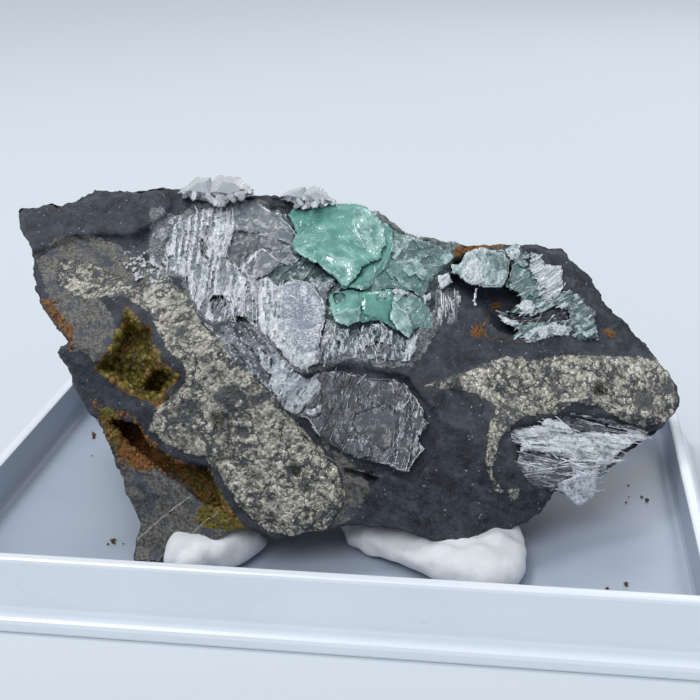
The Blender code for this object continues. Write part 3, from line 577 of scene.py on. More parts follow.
@dataclass(frozen=True)
class MassFinish:
    """A grown crystal mass, clear, milky, green or bluish, with painted shade, where its attributes say."""

    name: str
    clear: Colour = (0.22, 0.26, 0.31)
    # shadow is painted shade, laid where the dark attribute says.
    shadow: Colour = (0.030, 0.032, 0.030)
    leaf: Colour = (0.17, 0.50, 0.42)
    deep_leaf: Colour = (0.10, 0.34, 0.29)
    sky: Colour = (0.34, 0.41, 0.54)
    milk: Colour = (0.90, 0.95, 1.0)
    leaf_milk: Colour = (0.36, 0.70, 0.61)
    see_through: float = 0.28
    gloss: float = 0.7
    ior: float = 1.60

    def make(self, effects: Effects) -> bpy.types.Material:
        """The mass's material."""
        made, sheet, shader, where = new_finish(self.name)
        looks = {look: sheet.attribute(look.value) for look in Look}
        fine = sheet.noise(where, 2600.0, 4.0, 0.7)
        broad = sheet.noise(where, 520.0, 5.0, 0.65)
        colour = sheet.mix(looks[Look.BLUE], self.clear, self.sky)
        leaf = sheet.mix(sheet.spread(broad, 0.36, 0.60), self.deep_leaf, self.leaf)
        colour = sheet.mix(looks[Look.GREEN], colour, leaf)
        # Painted shade: the dark attribute darkens the colour towards shadow.
        painted_shade_share = sheet.maths("MULTIPLY", looks[Look.DARK], sheet.spread(broad, 0.30, 0.62, 1.15, 0.70))
        colour = sheet.mix(painted_shade_share, colour, self.shadow)
        white = sheet.mix(looks[Look.GREEN], self.milk, self.leaf_milk)
        calm = sheet.spread(looks[Look.GREEN], 0.2, 0.9, 1.0, 0.28)
        fleck = sheet.maths("MULTIPLY_ADD", sheet.maths("SUBTRACT", fine, 0.5), calm, 0.5)
        mottle = sheet.maths("MULTIPLY_ADD", broad, 1.5, looks[Look.MILK])
        mottle = sheet.maths("MULTIPLY_ADD", fleck, 1.6, mottle)
        share = sheet.spread(mottle, 1.98, 2.42)
        colour = sheet.mix(share, colour, white)
        sheet.tree.links.new(colour, shader.inputs["Base Color"])
        sheet.tree.links.new(sheet.spread(fine, 0.35, 0.65, 0.05, 0.22), shader.inputs["Roughness"])
        shader.inputs["Transmission Weight"].default_value = self.see_through
        shader.inputs["IOR"].default_value = self.ior
        shader.inputs["Coat Weight"].default_value = self.gloss
        shader.inputs["Coat Roughness"].default_value = 0.03
        chips = sheet.group(effects.chips, Where=where, Scale=1500.0).outputs[0]
        relief = sheet.maths("MULTIPLY_ADD", broad, 0.00030, chips)
        relief = sheet.maths("MULTIPLY_ADD", fine, 0.00012, relief)
        relief = sheet.maths("MULTIPLY", relief, calm)
        bump = sheet.add("Bump", Strength=0.75, Distance=1.0, Height=relief)
        sheet.tree.links.new(bump.outputs[0], shader.inputs["Normal"])
        sheet.tree.links.new(bump.outputs[0], shader.inputs["Coat Normal"])
        return made


@dataclass(frozen=True)
class GlintFinish:
    """A bright milky flaw or frosted edge in a crystal; the bright ones also stand in as painted glints."""

    name: str
    colour: Colour
    see_through: float = 0.15

    def make(self, effects: Effects) -> bpy.types.Material:
        """The flaw's material."""
        made, sheet, shader, where = new_finish(self.name)
        tone = sheet.noise(where, 1800.0, 3.0)
        dim = tuple(0.72 * part for part in self.colour)
        colour = sheet.mix(sheet.spread(tone, 0.35, 0.6), dim, self.colour)
        sheet.tree.links.new(colour, shader.inputs["Base Color"])
        sheet.tree.links.new(sheet.spread(tone, 0.3, 0.7, 0.2, 0.45), shader.inputs["Roughness"])
        shader.inputs["Transmission Weight"].default_value = self.see_through
        return made


@dataclass(frozen=True)
class CrustFinish:
    """Shiny rounded crust, olive with rusty spots."""

    name: str
    dark: Colour
    light: Colour
    spots: Colour

    def make(self, effects: Effects) -> bpy.types.Material:
        """The crust's material."""
        made, sheet, shader, where = new_finish(self.name)
        tone = sheet.noise(where, 900.0, 5.0, 0.6)
        patches = sheet.noise(where, 380.0, 3.0)
        colour = sheet.mix(sheet.spread(tone, 0.36, 0.64), self.dark, self.light)
        colour = sheet.mix(sheet.spread(patches, 0.52, 0.62), colour, self.spots)
        sheet.tree.links.new(colour, shader.inputs["Base Color"])
        sheet.tree.links.new(sheet.spread(tone, 0.3, 0.7, 0.22, 0.5), shader.inputs["Roughness"])
        bump = sheet.add("Bump", Strength=0.8, Distance=0.0002, Height=sheet.noise(where, 3000.0, 4.0))
        sheet.tree.links.new(bump.outputs[0], shader.inputs["Normal"])
        return made


@dataclass(frozen=True)
class DullFinish:
    """Putty or moulded plastic: an even colour with a little life in it."""

    name: str
    dark: Colour
    light: Colour
    rough: tuple[float, float]
    patch_scale: float
    grit_scale: float
    grit: float

    def make(self, effects: Effects) -> bpy.types.Material:
        """The material."""
        made, sheet, shader, where = new_finish(self.name)
        tone = sheet.noise(where, self.patch_scale, 4.0)
        colour = sheet.mix(sheet.spread(tone, 0.35, 0.65), self.dark, self.light)
        sheet.tree.links.new(colour, shader.inputs["Base Color"])
        sheet.tree.links.new(sheet.spread(tone, 0.3, 0.7, *self.rough), shader.inputs["Roughness"])
        bump = sheet.add("Bump", Strength=0.5, Distance=self.grit,
                         Height=sheet.noise(where, self.grit_scale, 5.0))
        sheet.tree.links.new(bump.outputs[0], shader.inputs["Normal"])
        return made


# The rock


PYRITE_PATCHES = (
    ((-36.2, 11.0), (-31.2, 10.2), (-27.8, 8.1), (-23.8, 8.5), (-20.0, 6.2), (-18.1, 2.5), (-15.2, -0.2),
     (-12.5, -2.8), (-9.4, -5.6), (-6.8, -8.8), (-4.0, -11.9), (-1.2, -15.6), (-0.6, -18.8), (-2.5, -22.2),
     (-6.2, -23.5), (-11.0, -22.5), (-14.0, -19.4), (-16.0, -16.0), (-18.1, -13.5), (-22.5, -12.2),
     (-25.0, -10.0), (-23.8, -6.9), (-20.6, -4.4), (-20.6, -2.2), (-23.1, 0.6), (-25.0, 4.0), (-27.8, 6.2),
     (-30.8, 6.2), (-33.8, 6.2), (-36.5, 8.1)),
    ((9.4, -4.4), (13.1, -2.8), (16.2, -2.0), (19.4, -1.0), (22.5, -1.5), (26.2, -0.8), (31.2, -1.0),
     (36.2, -0.9), (39.2, -1.5), (41.0, -6.2), (39.8, -8.5), (36.9, -9.8), (33.8, -8.8), (31.2, -7.2),
     (28.1, -6.5), (26.2, -7.8), (22.5, -7.8), (20.2, -9.4), (18.8, -11.2), (17.8, -15.0), (18.8, -17.5),
     (21.2, -17.2), (20.8, -18.8), (17.8, -17.2), (16.8, -13.8), (17.2, -10.0), (18.5, -6.9), (16.2, -5.2),
     (13.1, -4.8)),
)
PALE_PATCHES = (
    ((-39.5, 11.9), (-36.2, 13.8), (-32.5, 14.4), (-28.8, 13.1), (-25.0, 11.0), (-21.5, 7.5), (-20.0, 6.2),
     (-23.8, 8.2), (-27.8, 7.8), (-31.2, 6.2), (-29.0, 2.5), (-31.2, -1.5), (-34.4, 0.0), (-37.5, 6.2),
     (-39.2, 11.0)),
    ((-29.0, -13.1), (-25.0, -15.0), (-19.4, -15.6), (-13.8, -21.2), (-14.2, -24.4), (-20.0, -24.4),
     (-23.8, -26.5), (-26.9, -26.2), (-26.5, -22.5), (-27.8, -17.5)),
    ((-6.2, -6.2), (-3.8, -10.0), (-1.2, -15.0), (-0.6, -18.8), (-2.5, -22.2), (0.0, -21.2), (2.8, -17.5),
     (0.0, -13.8), (-3.0, -12.2), (-4.8, -9.4)),
)
RUST_PATCHES = (
    ((-32.4, -6.8), (-26.1, -9.6), (-23.4, -12.8), (-17.8, -15.3), (-16.0, -18.2), (-15.0, -20.0),
     (-16.9, -19.8), (-18.5, -18.8), (-20.1, -17.0), (-21.5, -15.6), (-24.1, -14.6), (-26.1, -15.0),
     (-27.8, -13.8), (-29.5, -11.5), (-30.8, -8.4)),
    ((-38.3, 6.1), (-37.5, 6.1), (-36.3, 4.5), (-34.5, 2.4), (-34.5, 0.3), (-35.1, 0.8), (-35.7, 2.4),
     (-37.5, 4.3)),
    ((17.6, 5.9), (19.0, 5.9), (19.0, 5.3), (17.7, 5.1)),
    ((15.2, 2.9), (16.2, 2.7), (16.9, 1.8), (15.9, 1.1), (14.9, 1.2), (14.9, 1.8)),
    ((31.8, 2.6), (32.4, 3.1), (33.5, 2.1), (32.6, 1.7), (32.0, 2.0)),
    ((14.3, 13.0), (15.9, 13.3), (19.1, 13.0), (18.9, 12.4), (15.2, 12.2), (13.5, 11.8), (12.8, 10.6),
     (12.5, 10.9), (13.5, 12.6)),
    ((-32.0, -2.4), (-30.1, 0.1), (-29.1, 1.3), (-27.9, 5.0), (-26.6, 4.0), (-27.2, 2.9), (-24.9, 2.9),
     (-24.9, 1.4), (-27.5, 2.5), (-28.7, 0.6), (-30.3, -1.7)),
    ((-28.7, -4.9), (-26.1, -6.1), (-23.9, -7.0), (-22.8, -5.8), (-23.5, -5.2), (-24.5, -6.1), (-26.4, -5.2),
     (-28.4, -4.2)),
)
OLIVE_PATCHES = (
    ((-32.0, -2.2), (-30.6, -0.8), (-29.5, 1.0), (-28.6, 3.1), (-27.8, 5.0), (-26.9, 4.1), (-25.9, 2.4),
     (-24.9, 1.6), (-23.6, -1.4), (-21.4, -3.2), (-22.8, -5.2), (-23.9, -6.4), (-25.8, -6.5), (-29.5, -4.0)),
    ((-21.5, -14.7), (-17.8, -15.6), (-16.0, -18.2), (-14.1, -20.9), (-12.5, -22.8), (-15.5, -22.5),
     (-17.8, -22.1), (-19.4, -21.2), (-18.5, -19.3), (-19.9, -17.5)),
    ((-31.5, -6.8), (-29.0, -7.8), (-28.8, -12.5), (-30.2, -11.2)),
)
FROST_PATCHES = (
    ((4.2, 14.2), (11.2, 13.0), (12.8, 11.0), (12.5, 6.2), (10.8, 2.5), (7.8, 1.5), (5.8, 2.5), (7.2, 6.8),
     (4.8, 11.0)),
    ((-30.0, 12.2), (-25.0, 12.8), (-22.5, 11.0), (-21.8, 7.5), (-23.8, 7.2), (-27.5, 9.8)),
    ((-15.0, 4.0), (-11.0, 3.5), (-7.5, 0.6), (-6.2, -2.8), (-7.5, -6.9), (-11.0, -5.0), (-13.8, -1.5),
     (-15.5, 1.2)),
)
BED_PATCHES = (
    ((-25.0, 18.0), (-21.5, 17.0), (-18.8, 18.2), (-14.8, 19.0), (-11.0, 18.8), (-7.5, 17.0), (-6.2, 18.0),
     (3.8, 17.5), (6.5, 14.8), (13.8, 13.4), (10.8, 2.5), (10.0, 0.6), (8.1, -1.8), (3.5, -2.0), (0.0, -1.0),
     (-3.5, -2.5), (-5.9, -3.0), (-8.0, -2.2), (-11.5, 1.8), (-13.8, 4.0), (-16.5, 3.0), (-20.5, 5.5),
     (-20.8, 8.5), (-23.5, 9.0), (-25.2, 11.8)),
)

PATCHES = {
    Patch.PYRITE: PYRITE_PATCHES,
    Patch.PALE: PALE_PATCHES,
    Patch.RUST: RUST_PATCHES,
    Patch.OLIVE: OLIVE_PATCHES,
    Patch.FROST: FROST_PATCHES,
    Patch.BED: BED_PATCHES,
}


@dataclass
class MatrixRock:
    """The slate and pyrite block: a drawn-out block, roughened, and hollowed where the crystals sit."""

    grain: float = 0.40
    block_half: float = 10.0
    thinnest: float = 2.0
    lowest: float = 4.0
    gash_floor: float = 2.0
    outline: Outline = (
        (-41.2, 17.4), (-37.4, 17.9), (-34.2, 18.4), (-31.9, 19.8), (-25.0, 19.8), (-19.9, 20.0),
        (-17.4, 20.4), (-14.6, 19.5), (-9.0, 19.2), (-5.5, 18.2), (-0.6, 17.4), (4.1, 16.6), (5.5, 15.5),
        (6.6, 14.6), (10.6, 13.9), (14.0, 13.2), (19.1, 13.0), (23.2, 12.9), (26.2, 12.4), (27.1, 11.2),
        (29.5, 9.4), (31.1, 7.4), (32.6, 4.8), (35.0, 3.1), (36.9, 0.6), (38.1, -1.4), (39.5, -2.9),
        (40.6, -4.8), (41.0, -6.6), (39.8, -8.0), (37.9, -10.4), (34.9, -12.4), (32.2, -14.8),
        (28.4, -16.6), (25.4, -17.6), (23.9, -20.1), (22.2, -21.5), (19.6, -22.9), (17.4, -25.5),
        (14.5, -25.0), (10.1, -23.8), (7.8, -22.9), (3.0, -22.1), (-0.4, -21.9), (-3.0, -22.4),
        (-6.6, -23.2), (-9.0, -24.0), (-10.6, -22.8), (-13.8, -22.1), (-15.4, -22.9), (-17.0, -24.2),
        (-19.8, -24.0), (-22.2, -24.6), (-23.8, -26.5), (-27.0, -26.4), (-26.8, -24.1), (-26.1, -21.8),
        (-26.9, -19.8), (-28.1, -16.9), (-29.1, -12.9), (-30.4, -9.9), (-32.2, -7.5), (-34.6, -4.1),
        (-35.1, -1.8), (-36.2, -0.5), (-36.1, 0.4), (-34.9, 0.5), (-35.5, 2.0), (-37.4, 4.4), (-38.4, 6.0),
        (-39.2, 9.1), (-39.2, 11.0), (-40.8, 15.2),
    )
    near_faces: tuple = (
        ((-8.0, -5.0, 17.5), (26.0, 0.5, 14.5), (17.4, -25.5, 12.5)),
        ((-8.0, -5.0, 17.5), (-20.0, 5.6, 14.6), (-36.0, 0.0, 8.0)),
        ((-28.0, -6.0, 11.5), (-8.0, -24.0, 12.5), (-26.0, -26.5, 12.4)),
        ((-8.0, -5.0, 17.5), (-20.0, 5.6, 14.6), (0.0, 18.0, -3.0)),
        ((-20.0, 5.6, 14.6), (-39.0, 13.0, 8.5), (-28.0, 19.7, -3.0)),
        ((-8.0, -5.0, 17.5), (26.0, 0.5, 14.5), (12.0, 13.9, -2.0)),
        ((26.0, 0.5, 14.5), (38.0, -1.0, 8.5), (25.0, 12.9, -2.0)),
        ((26.0, 0.5, 14.5), (40.5, -5.0, 6.0), (28.0, -16.6, 8.5)),
        ((-36.0, 12.0, 10.5), (-36.5, -4.0, 7.0), (-41.0, 12.0, 3.0)),
    )
    far_faces: tuple = (
        ((-35.0, 18.4, -6.0), (0.0, 17.4, -9.0), (-8.0, 4.0, -15.5)),
        ((0.0, 17.4, -9.0), (29.0, 9.4, -7.0), (15.0, 0.0, -14.0)),
        ((-30.0, 2.0, -9.0), (30.0, -2.0, -9.0), (0.0, -18.0, -5.0)),
        ((-20.0, -10.0, -7.0), (20.0, -12.0, -6.5), (10.0, -24.0, 3.0)),
        ((-41.0, 17.0, -13.0), (-34.0, -6.0, -9.0), (-24.0, 8.0, -16.0)),
        ((41.0, -6.0, -9.0), (33.0, 5.0, -12.0), (22.0, -6.0, -14.0)),
        ((-27.0, -20.0, 4.0), (-15.0, -22.0, 3.5), (-20.0, -8.0, -8.0)),
        ((33.0, -14.0, 1.0), (20.0, -22.0, 3.5), (24.0, -8.0, -8.0)),
    )
    # outline, depth and edge width of each hollow
    hollows: tuple = (
        (((-23.0, 13.5), (-18.5, 17.0), (-9.0, 18.6), (4.0, 16.0), (13.0, 12.4), (12.0, 6.0), (7.5, 1.0),
            (0.0, -0.5), (-4.5, -2.6), (-7.8, -1.6), (-12.0, 2.2), (-19.5, 5.6)), 4.5, 2.0),
        (((11.0, 12.0), (19.5, 12.0), (25.0, 9.5), (28.5, 3.5), (24.0, 1.0), (18.0, 1.5), (16.0, 5.0),
            (11.0, 8.0)), 3.5, 1.6),
        (((-27.8, 5.0), (-26.9, 3.2), (-24.8, 2.9), (-23.6, -1.4), (-21.4, -3.2), (-24.5, -6.9),
            (-32.0, -2.2), (-29.5, 1.0)), 5.0, 1.2),
        (((-9.7, -7.1), (-4.0, -1.5), (1.6, -1.9), (7.6, -3.0), (11.6, -9.1), (10.8, -12.8), (8.2, -17.0),
            (4.5, -15.6), (-0.8, -15.0), (-4.1, -13.1), (-6.6, -9.6)), 0.9, 0.5),
        (((19.6, -9.4), (27.0, -7.4), (38.6, -8.8), (39.0, -11.4), (32.0, -17.2), (28.4, -20.4),
            (22.0, -17.0), (20.2, -14.0)), 1.8, 1.0),
        (((-0.8, -14.4), (3.8, -15.6), (3.4, -16.8), (-1.0, -15.4)), 2.4, 0.5),
        (((-17.6, -7.4), (-15.0, -8.0), (-15.4, -10.2), (-17.2, -9.8)), 1.6, 0.7),
        (((-7.4, -14.4), (-6.2, -14.6), (-6.2, -16.0), (-7.2, -15.8)), 1.4, 0.5),
        (((30.2, -4.0), (31.4, -4.4), (32.4, -5.8), (30.4, -5.8)), 2.0, 0.5),
        (((-25.2, -2.9), (-23.8, -1.7), (-22.2, -2.7), (-21.7, -3.6), (-22.7, -5.2), (-24.1, -6.1),
            (-26.1, -5.0), (-25.8, -3.6)), 8.5, 0.8),
    )
    # ledges and lumps of the near side: outline, height and edge width
    ledges: tuple = (
        (((-41.5, 18.0), (-22.0, 20.5), (-22.5, 17.0), (-27.0, 14.4), (-34.0, 13.8), (-40.0, 11.4)), 1.3,
            0.6),
        (((-21.0, 7.6), (-19.6, 3.9), (-13.8, -1.2), (-5.3, -8.1), (-1.0, -14.0), (6.0, -24.0),
            (9.0, -23.0), (3.6, -14.8), (-3.2, -11.8), (-8.4, -6.4), (-16.6, 2.4)), 0.9, 0.7),
        (((9.4, -4.4), (13.0, -1.9), (20.0, -1.2), (31.0, -0.9), (40.0, -1.6), (41.0, -6.6), (36.0, -9.6),
            (31.0, -7.0), (24.0, -7.6), (18.8, -11.2), (18.0, -15.0), (21.2, -17.4), (20.0, -19.0),
            (16.8, -14.0), (17.2, -9.8), (14.0, -5.0)), 0.9, 0.7),
        (((-23.8, 8.0), (-19.0, 4.6), (-12.5, -2.8), (-4.0, -11.9), (-0.6, -19.4), (-6.2, -23.5),
            (-14.0, -19.4), (-18.0, -13.6), (-25.0, -10.0), (-23.8, -6.6), (-20.6, -4.4), (-22.4, 0.6)),
            0.7, 0.8),
        (((-4.0, -2.2), (6.5, -2.1), (12.0, -5.0), (10.4, -8.2), (8.0, -4.4), (-3.2, -3.4)), 0.8, 0.5),
    )
    gash: Outline = (
        (-31.0, -8.4), (-26.1, -9.0), (-24.9, -11.4), (-21.2, -14.2), (-17.6, -14.6), (-16.5, -17.5),
        (-15.2, -20.6), (-18.2, -19.4), (-22.2, -16.6), (-25.0, -14.0), (-27.6, -12.2),
    )
    hole: Outline = ((-29.0, -8.2), (-28.1, -8.6), (-27.5, -10.4), (-27.8, -11.2), (-28.7, -10.0))

    def near_side(self, right: np.ndarray, up: np.ndarray) -> np.ndarray:
        """How near the unhollowed near side lies."""
        return np.min([plane_near(face, right, up) for face in self.near_faces], axis=0)

    def far_side(self, right: np.ndarray, up: np.ndarray) -> np.ndarray:
        """How near the far side lies, not lower than the lowest rock."""
        far = np.max([plane_near(face, right, up) for face in self.far_faces], axis=0)
        across, aloft = SIDE.axes
        fall = SIDE.forward.z + (right * across.z + up * aloft.z) / SIDE.reach
        underside = SIDE.reach - (self.lowest - SIDE.eye.z) / fall
        return np.maximum(np.minimum(far, self.near_side(right, up) - self.thinnest), underside)

    def sink(self, right: np.ndarray, up: np.ndarray) -> np.ndarray:
        """How deep the hollows go, less the height of the ledges."""
        depths, lifts = (
            [size * smooth_step(inside_depth(right, up, outline) / edge) for outline, size, edge in forms]
            for forms in (self.hollows, self.ledges)
        )
        deepest = np.max(depths, axis=0)
        return deepest - np.sum(lifts, axis=0) * (1.0 - np.clip(deepest, 0.0, 1.0))

    def floor_near(self, spots: np.ndarray) -> np.ndarray:
        """How near the hollowed surface lies at each (right, up) row."""
        return self.near_side(spots[:, 0], spots[:, 1]) - self.sink(spots[:, 0], spots[:, 1])

    def _prism(self, outline: Outline, near: float, far: float) -> bpy.types.Object:
        """A block whose outline is the same from near to far as the eye sees it."""
        bm = bmesh.new()
        front = [bm.verts.new(SIDE.place(u, v, near)) for u, v in outline]
        back = [bm.verts.new(SIDE.place(u, v, far)) for u, v in outline]
        bm.faces.new(front)
        bm.faces.new(back[::-1])
        for i in range(len(outline)):
            j = (i + 1) % len(outline)
            bm.faces.new((front[j], front[i], back[i], back[j]))
        bmesh.ops.triangulate(bm, faces=bm.faces)
        return link("block", as_mesh(bm, "block"))

    def _chipped(self) -> list[Spot]:
        """The outline with small chips along its edges."""
        dice = random.Random(4)
        chipped = []
        for i, corner in enumerate(self.outline):
            after = self.outline[(i + 1) % len(self.outline)]
            span = math.dist(corner, after)
            steps = max(1, round(span / 0.9))
            for step in range(steps):
                share = step / steps
                jut = 0.0 if step == 0 else dice.uniform(-0.30, 0.12)
                u = corner[0] + share * (after[0] - corner[0]) - jut * (after[1] - corner[1]) / span
                v = corner[1] + share * (after[1] - corner[1]) + jut * (after[0] - corner[0]) / span
                chipped.append((u, v))
        return chipped

    def _roughness(self, points: np.ndarray, pyrite: np.ndarray, rust: np.ndarray) -> np.ndarray:
        """How far the broken surface stands out at each point, in millimetres."""
        heights = np.zeros(len(points))
        slope = Vector((0.35, -0.25, 0.9))
        for i, point in enumerate(points / MM):
            p = Vector(point)
            lumps = noise.fractal(p * 0.09, 0.8, 2.1, 3)
            bed = p.dot(slope) * 0.55 + 1.2 * noise.noise(p * 0.11)
            ledge = abs((bed % 1.0) - 0.5) - 0.25
            fine_bed = p.dot(slope) * 1.7 + 1.6 * noise.noise(p * 0.23)
            step = min(1.0, (fine_bed % 1.0) * 1.25) - 0.5
            chips = noise.noise(p * 0.5) + 0.7 * noise.noise(p * 1.1) + 0.45 * noise.noise(p * 2.3)
            heights[i] = 0.9 * lumps + 0.7 * ledge + (0.38 * step + 0.34 * chips) * (1.0 - 0.5 * pyrite[i])
            if pyrite[i] > 0.02 or rust[i] > 0.02:
                distance = noise.voronoi(p * 1.25 + 0.8 * noise.noise_vector(p * 0.8))[0]
                knob = 0.5 - distance[0] + 0.6 * (distance[1] - distance[0])
                heights[i] += (0.30 * pyrite[i] + 0.45 * rust[i]) * knob
        return heights

    def build(self, finish: bpy.types.Material) -> bpy.types.Object:
        """Makes the rock.

        Args:
            finish: The rock's material.

        Returns:
            The rock.
        """
        rock = self._prism(self._chipped(), self.block_half, -self.block_half)
        openings = [
            self._prism(self.gash, self.block_half + 2.0, self.gash_floor),
            self._prism(self.hole, self.block_half + 3.0, -self.block_half - 2.0),
        ]
        for opening in openings:
            step = rock.modifiers.new("opening", "BOOLEAN")
            step.solver = "EXACT"
            step.operation = "DIFFERENCE"
            step.object = opening
        cells = rock.modifiers.new("cells", "REMESH")
        cells.mode = "VOXEL"
        cells.voxel_size = self.grain * MM
        settle(rock)
        for opening in openings:
            bpy.data.objects.remove(opening, do_unlink=True)
        mesh = rock.data
        points = np.empty(len(mesh.vertices) * 3)
        mesh.vertices.foreach_get("co", points)
        seen = SIDE.seen_all(points.reshape(-1, 3))
        share = (seen[:, 2] + self.block_half) / (2.0 * self.block_half)
        far, near = self.far_side(seen[:, 0], seen[:, 1]), self.near_side(seen[:, 0], seen[:, 1])
        seen[:, 2] = far + share * (near - far)
        points = SIDE.place_all(seen)
        mesh.vertices.foreach_set("co", points.ravel())
        mesh.update()
        normals = np.empty(len(mesh.vertices) * 3)
        mesh.vertices.foreach_get("normal", normals)
        normals = normals.reshape(-1, 3)
        toward = -(normals @ AWAY)
        sink = self.sink(seen[:, 0], seen[:, 1]) * smooth_step(toward * 2.5)
        masks = self._masks(seen, toward)
        rough = self._roughness(points, masks[Patch.PYRITE], masks[Patch.RUST] + masks[Patch.OLIVE])
        rough *= 0.45 + 0.55 * np.abs(toward)
        rough *= 1.0 - 0.75 * smooth_step(np.abs(sink)) * (sink > 0.0)
        rough *= 0.15 + 0.85 * smooth_step((points[:, 2] / MM - 5.0) / 5.0)
        moved = SIDE.seen_all(points + normals * rough[:, None] * MM)
        moved[:, 2] -= sink
        mesh.vertices.foreach_set("co", SIDE.place_all(moved).ravel())
        mesh.update()
        for patch, values in masks.items():
            layer = mesh.attributes.new(patch.value, "FLOAT", "POINT")
            layer.data.foreach_set("value", values.astype(np.float32))
        rock.name = "rock_surface"
        mesh.name = "rock_surface"
        return finish_piece(rock, finish, ("matrix_rock",), smooth=True)

    def _masks(self, seen: np.ndarray, toward: np.ndarray) -> dict[Patch, np.ndarray]:
        """How much of each kind of mineral shows at each point, from 0 to 1."""
        masks = {}
        for patch, outlines in PATCHES.items():
            depth = np.max([inside_depth(seen[:, 0], seen[:, 1], outline) for outline in outlines], axis=0)
            masks[patch] = smooth_step(0.5 + depth / 1.6)
            if patch in (Patch.FROST, Patch.OLIVE, Patch.BED):
                masks[patch] = masks[patch] * smooth_step(toward * 3.0 + 0.6)
        return masks


# Crystals


@dataclass(frozen=True)
class Blade:
    """One flat-faced crystal by the outline of its widest ring.

    ``near`` is where the middle of that ring lies, or by default ``rise`` over its foot. ``relief`` is how
    far its front stands off the ring, ``inset`` the front's size as a share of the ring, and ``lean`` tips
    both, per millimetre to the right and up.
    """

    outline: Outline
    near: float | None = None
    relief: float = 0.8
    rise: float = 0.8
    lean: Spot = (0.0, 0.0)
    inset: float = 0.72

    def add_to(self, bm: bmesh.types.BMesh, rock: MatrixRock, sunk: float = 0.5) -> None:
        """Adds the crystal's hull to a mesh.

        Args:
            bm: The mesh.
            rock: The rock it stands on.
            sunk: How deep its foot goes into the rock.
        """
        ring = np.array(self.outline)
        middle = ring.mean(axis=0)
        arms = ring - middle
        small, front = middle + 0.8 * arms, middle + self.inset * arms
        feet = rock.floor_near(small) - sunk
        near = self.near if self.near is not None else float(feet.mean()) + 1.0 + self.rise
        tips = arms @ np.array(self.lean)
        wide = np.maximum(near + tips, rock.floor_near(ring) - 0.2)
        tops = np.maximum(near + self.inset * tips + self.relief, rock.floor_near(front) + 0.3)
        rings = ((small, feet), (ring, wide), (front, tops))
        rows = np.concatenate([np.column_stack(pair) for pair in rings])
        add_hull(bm, [Vector(spot) for spot in SIDE.place_all(rows)])


def add_hull(bm: bmesh.types.BMesh, spots: Sequence[Vector]) -> None:
    """Adds the convex hull of some points as a loose part.

    Args:
        bm: The mesh it goes to.
        spots: The points in metres.
    """
    part = bmesh.new()
    for spot in spots:
        part.verts.new(spot)
    hull = bmesh.ops.convex_hull(part, input=part.verts)
    left = hull["geom_interior"] + hull["geom_unused"]
    spare = {item for item in left if isinstance(item, bmesh.types.BMVert)}
    bmesh.ops.delete(part, geom=list(spare), context="VERTS")
    bmesh.ops.dissolve_limit(part, angle_limit=math.radians(2.0), verts=part.verts, edges=part.edges)
    bmesh.ops.recalc_face_normals(part, faces=part.faces)
    copied = {corner: bm.verts.new(corner.co) for corner in part.verts}
    for face in part.faces:
        bm.faces.new([copied[corner] for corner in face.verts])
    part.free()


def lath(middle: Spot, length: float, width: float, angle: float, point: float = 0.35) -> Outline:
    """The six-sided outline of a blade that runs at this angle from upright."""
    along = Vector((math.sin(angle), math.cos(angle)))
    across = Vector((along.y, -along.x))
    half, wide = length / 2.0, width / 2.0
    tip = half * (1.0 - point)
    corners = ((half, 0.0), (tip, wide), (-tip, wide), (-half, 0.0), (-tip, -wide), (tip, -wide))
    return tuple(
        (middle[0] + along.x * a + across.x * c, middle[1] + along.y * a + across.y * c) for a, c in corners
    )


@dataclass(frozen=True)
class Crowd:
    """A crowd of blades inside an outline, all leaning roughly one way."""

    seed: int
    count: int
    outline: Outline
    length: Spot
    width: Spot
    angle: float
    sway: float = 0.35
    relief: float = 0.5
    rise: float = 1.4
    lean_up: Spot = (-0.6, 0.1)
    margin: float = 0.0

    def blades(self) -> list[Blade]:
        """The crowd's blades."""
        dice = random.Random(self.seed)
        rights, ups = zip(*self.outline)
        made: list[Blade] = []
        for attempt in range(self.count * 60):
            middle = dice.uniform(min(rights), max(rights)), dice.uniform(min(ups), max(ups))
            turned = self.angle + dice.uniform(-self.sway, self.sway)
            outline = lath(middle, dice.uniform(*self.length), dice.uniform(*self.width), turned)
            rise = dice.uniform(0.35, 1.0) * self.rise
            lean = (dice.uniform(-0.5, 0.5), dice.uniform(*self.lean_up))
            corners = np.array(outline)
            if float(np.min(inside_depth(corners[:, 0], corners[:, 1], self.outline))) > self.margin:
                made.append(Blade(outline, rise=rise, relief=self.relief, lean=lean))
            if len(made) == self.count:
                break
        return made


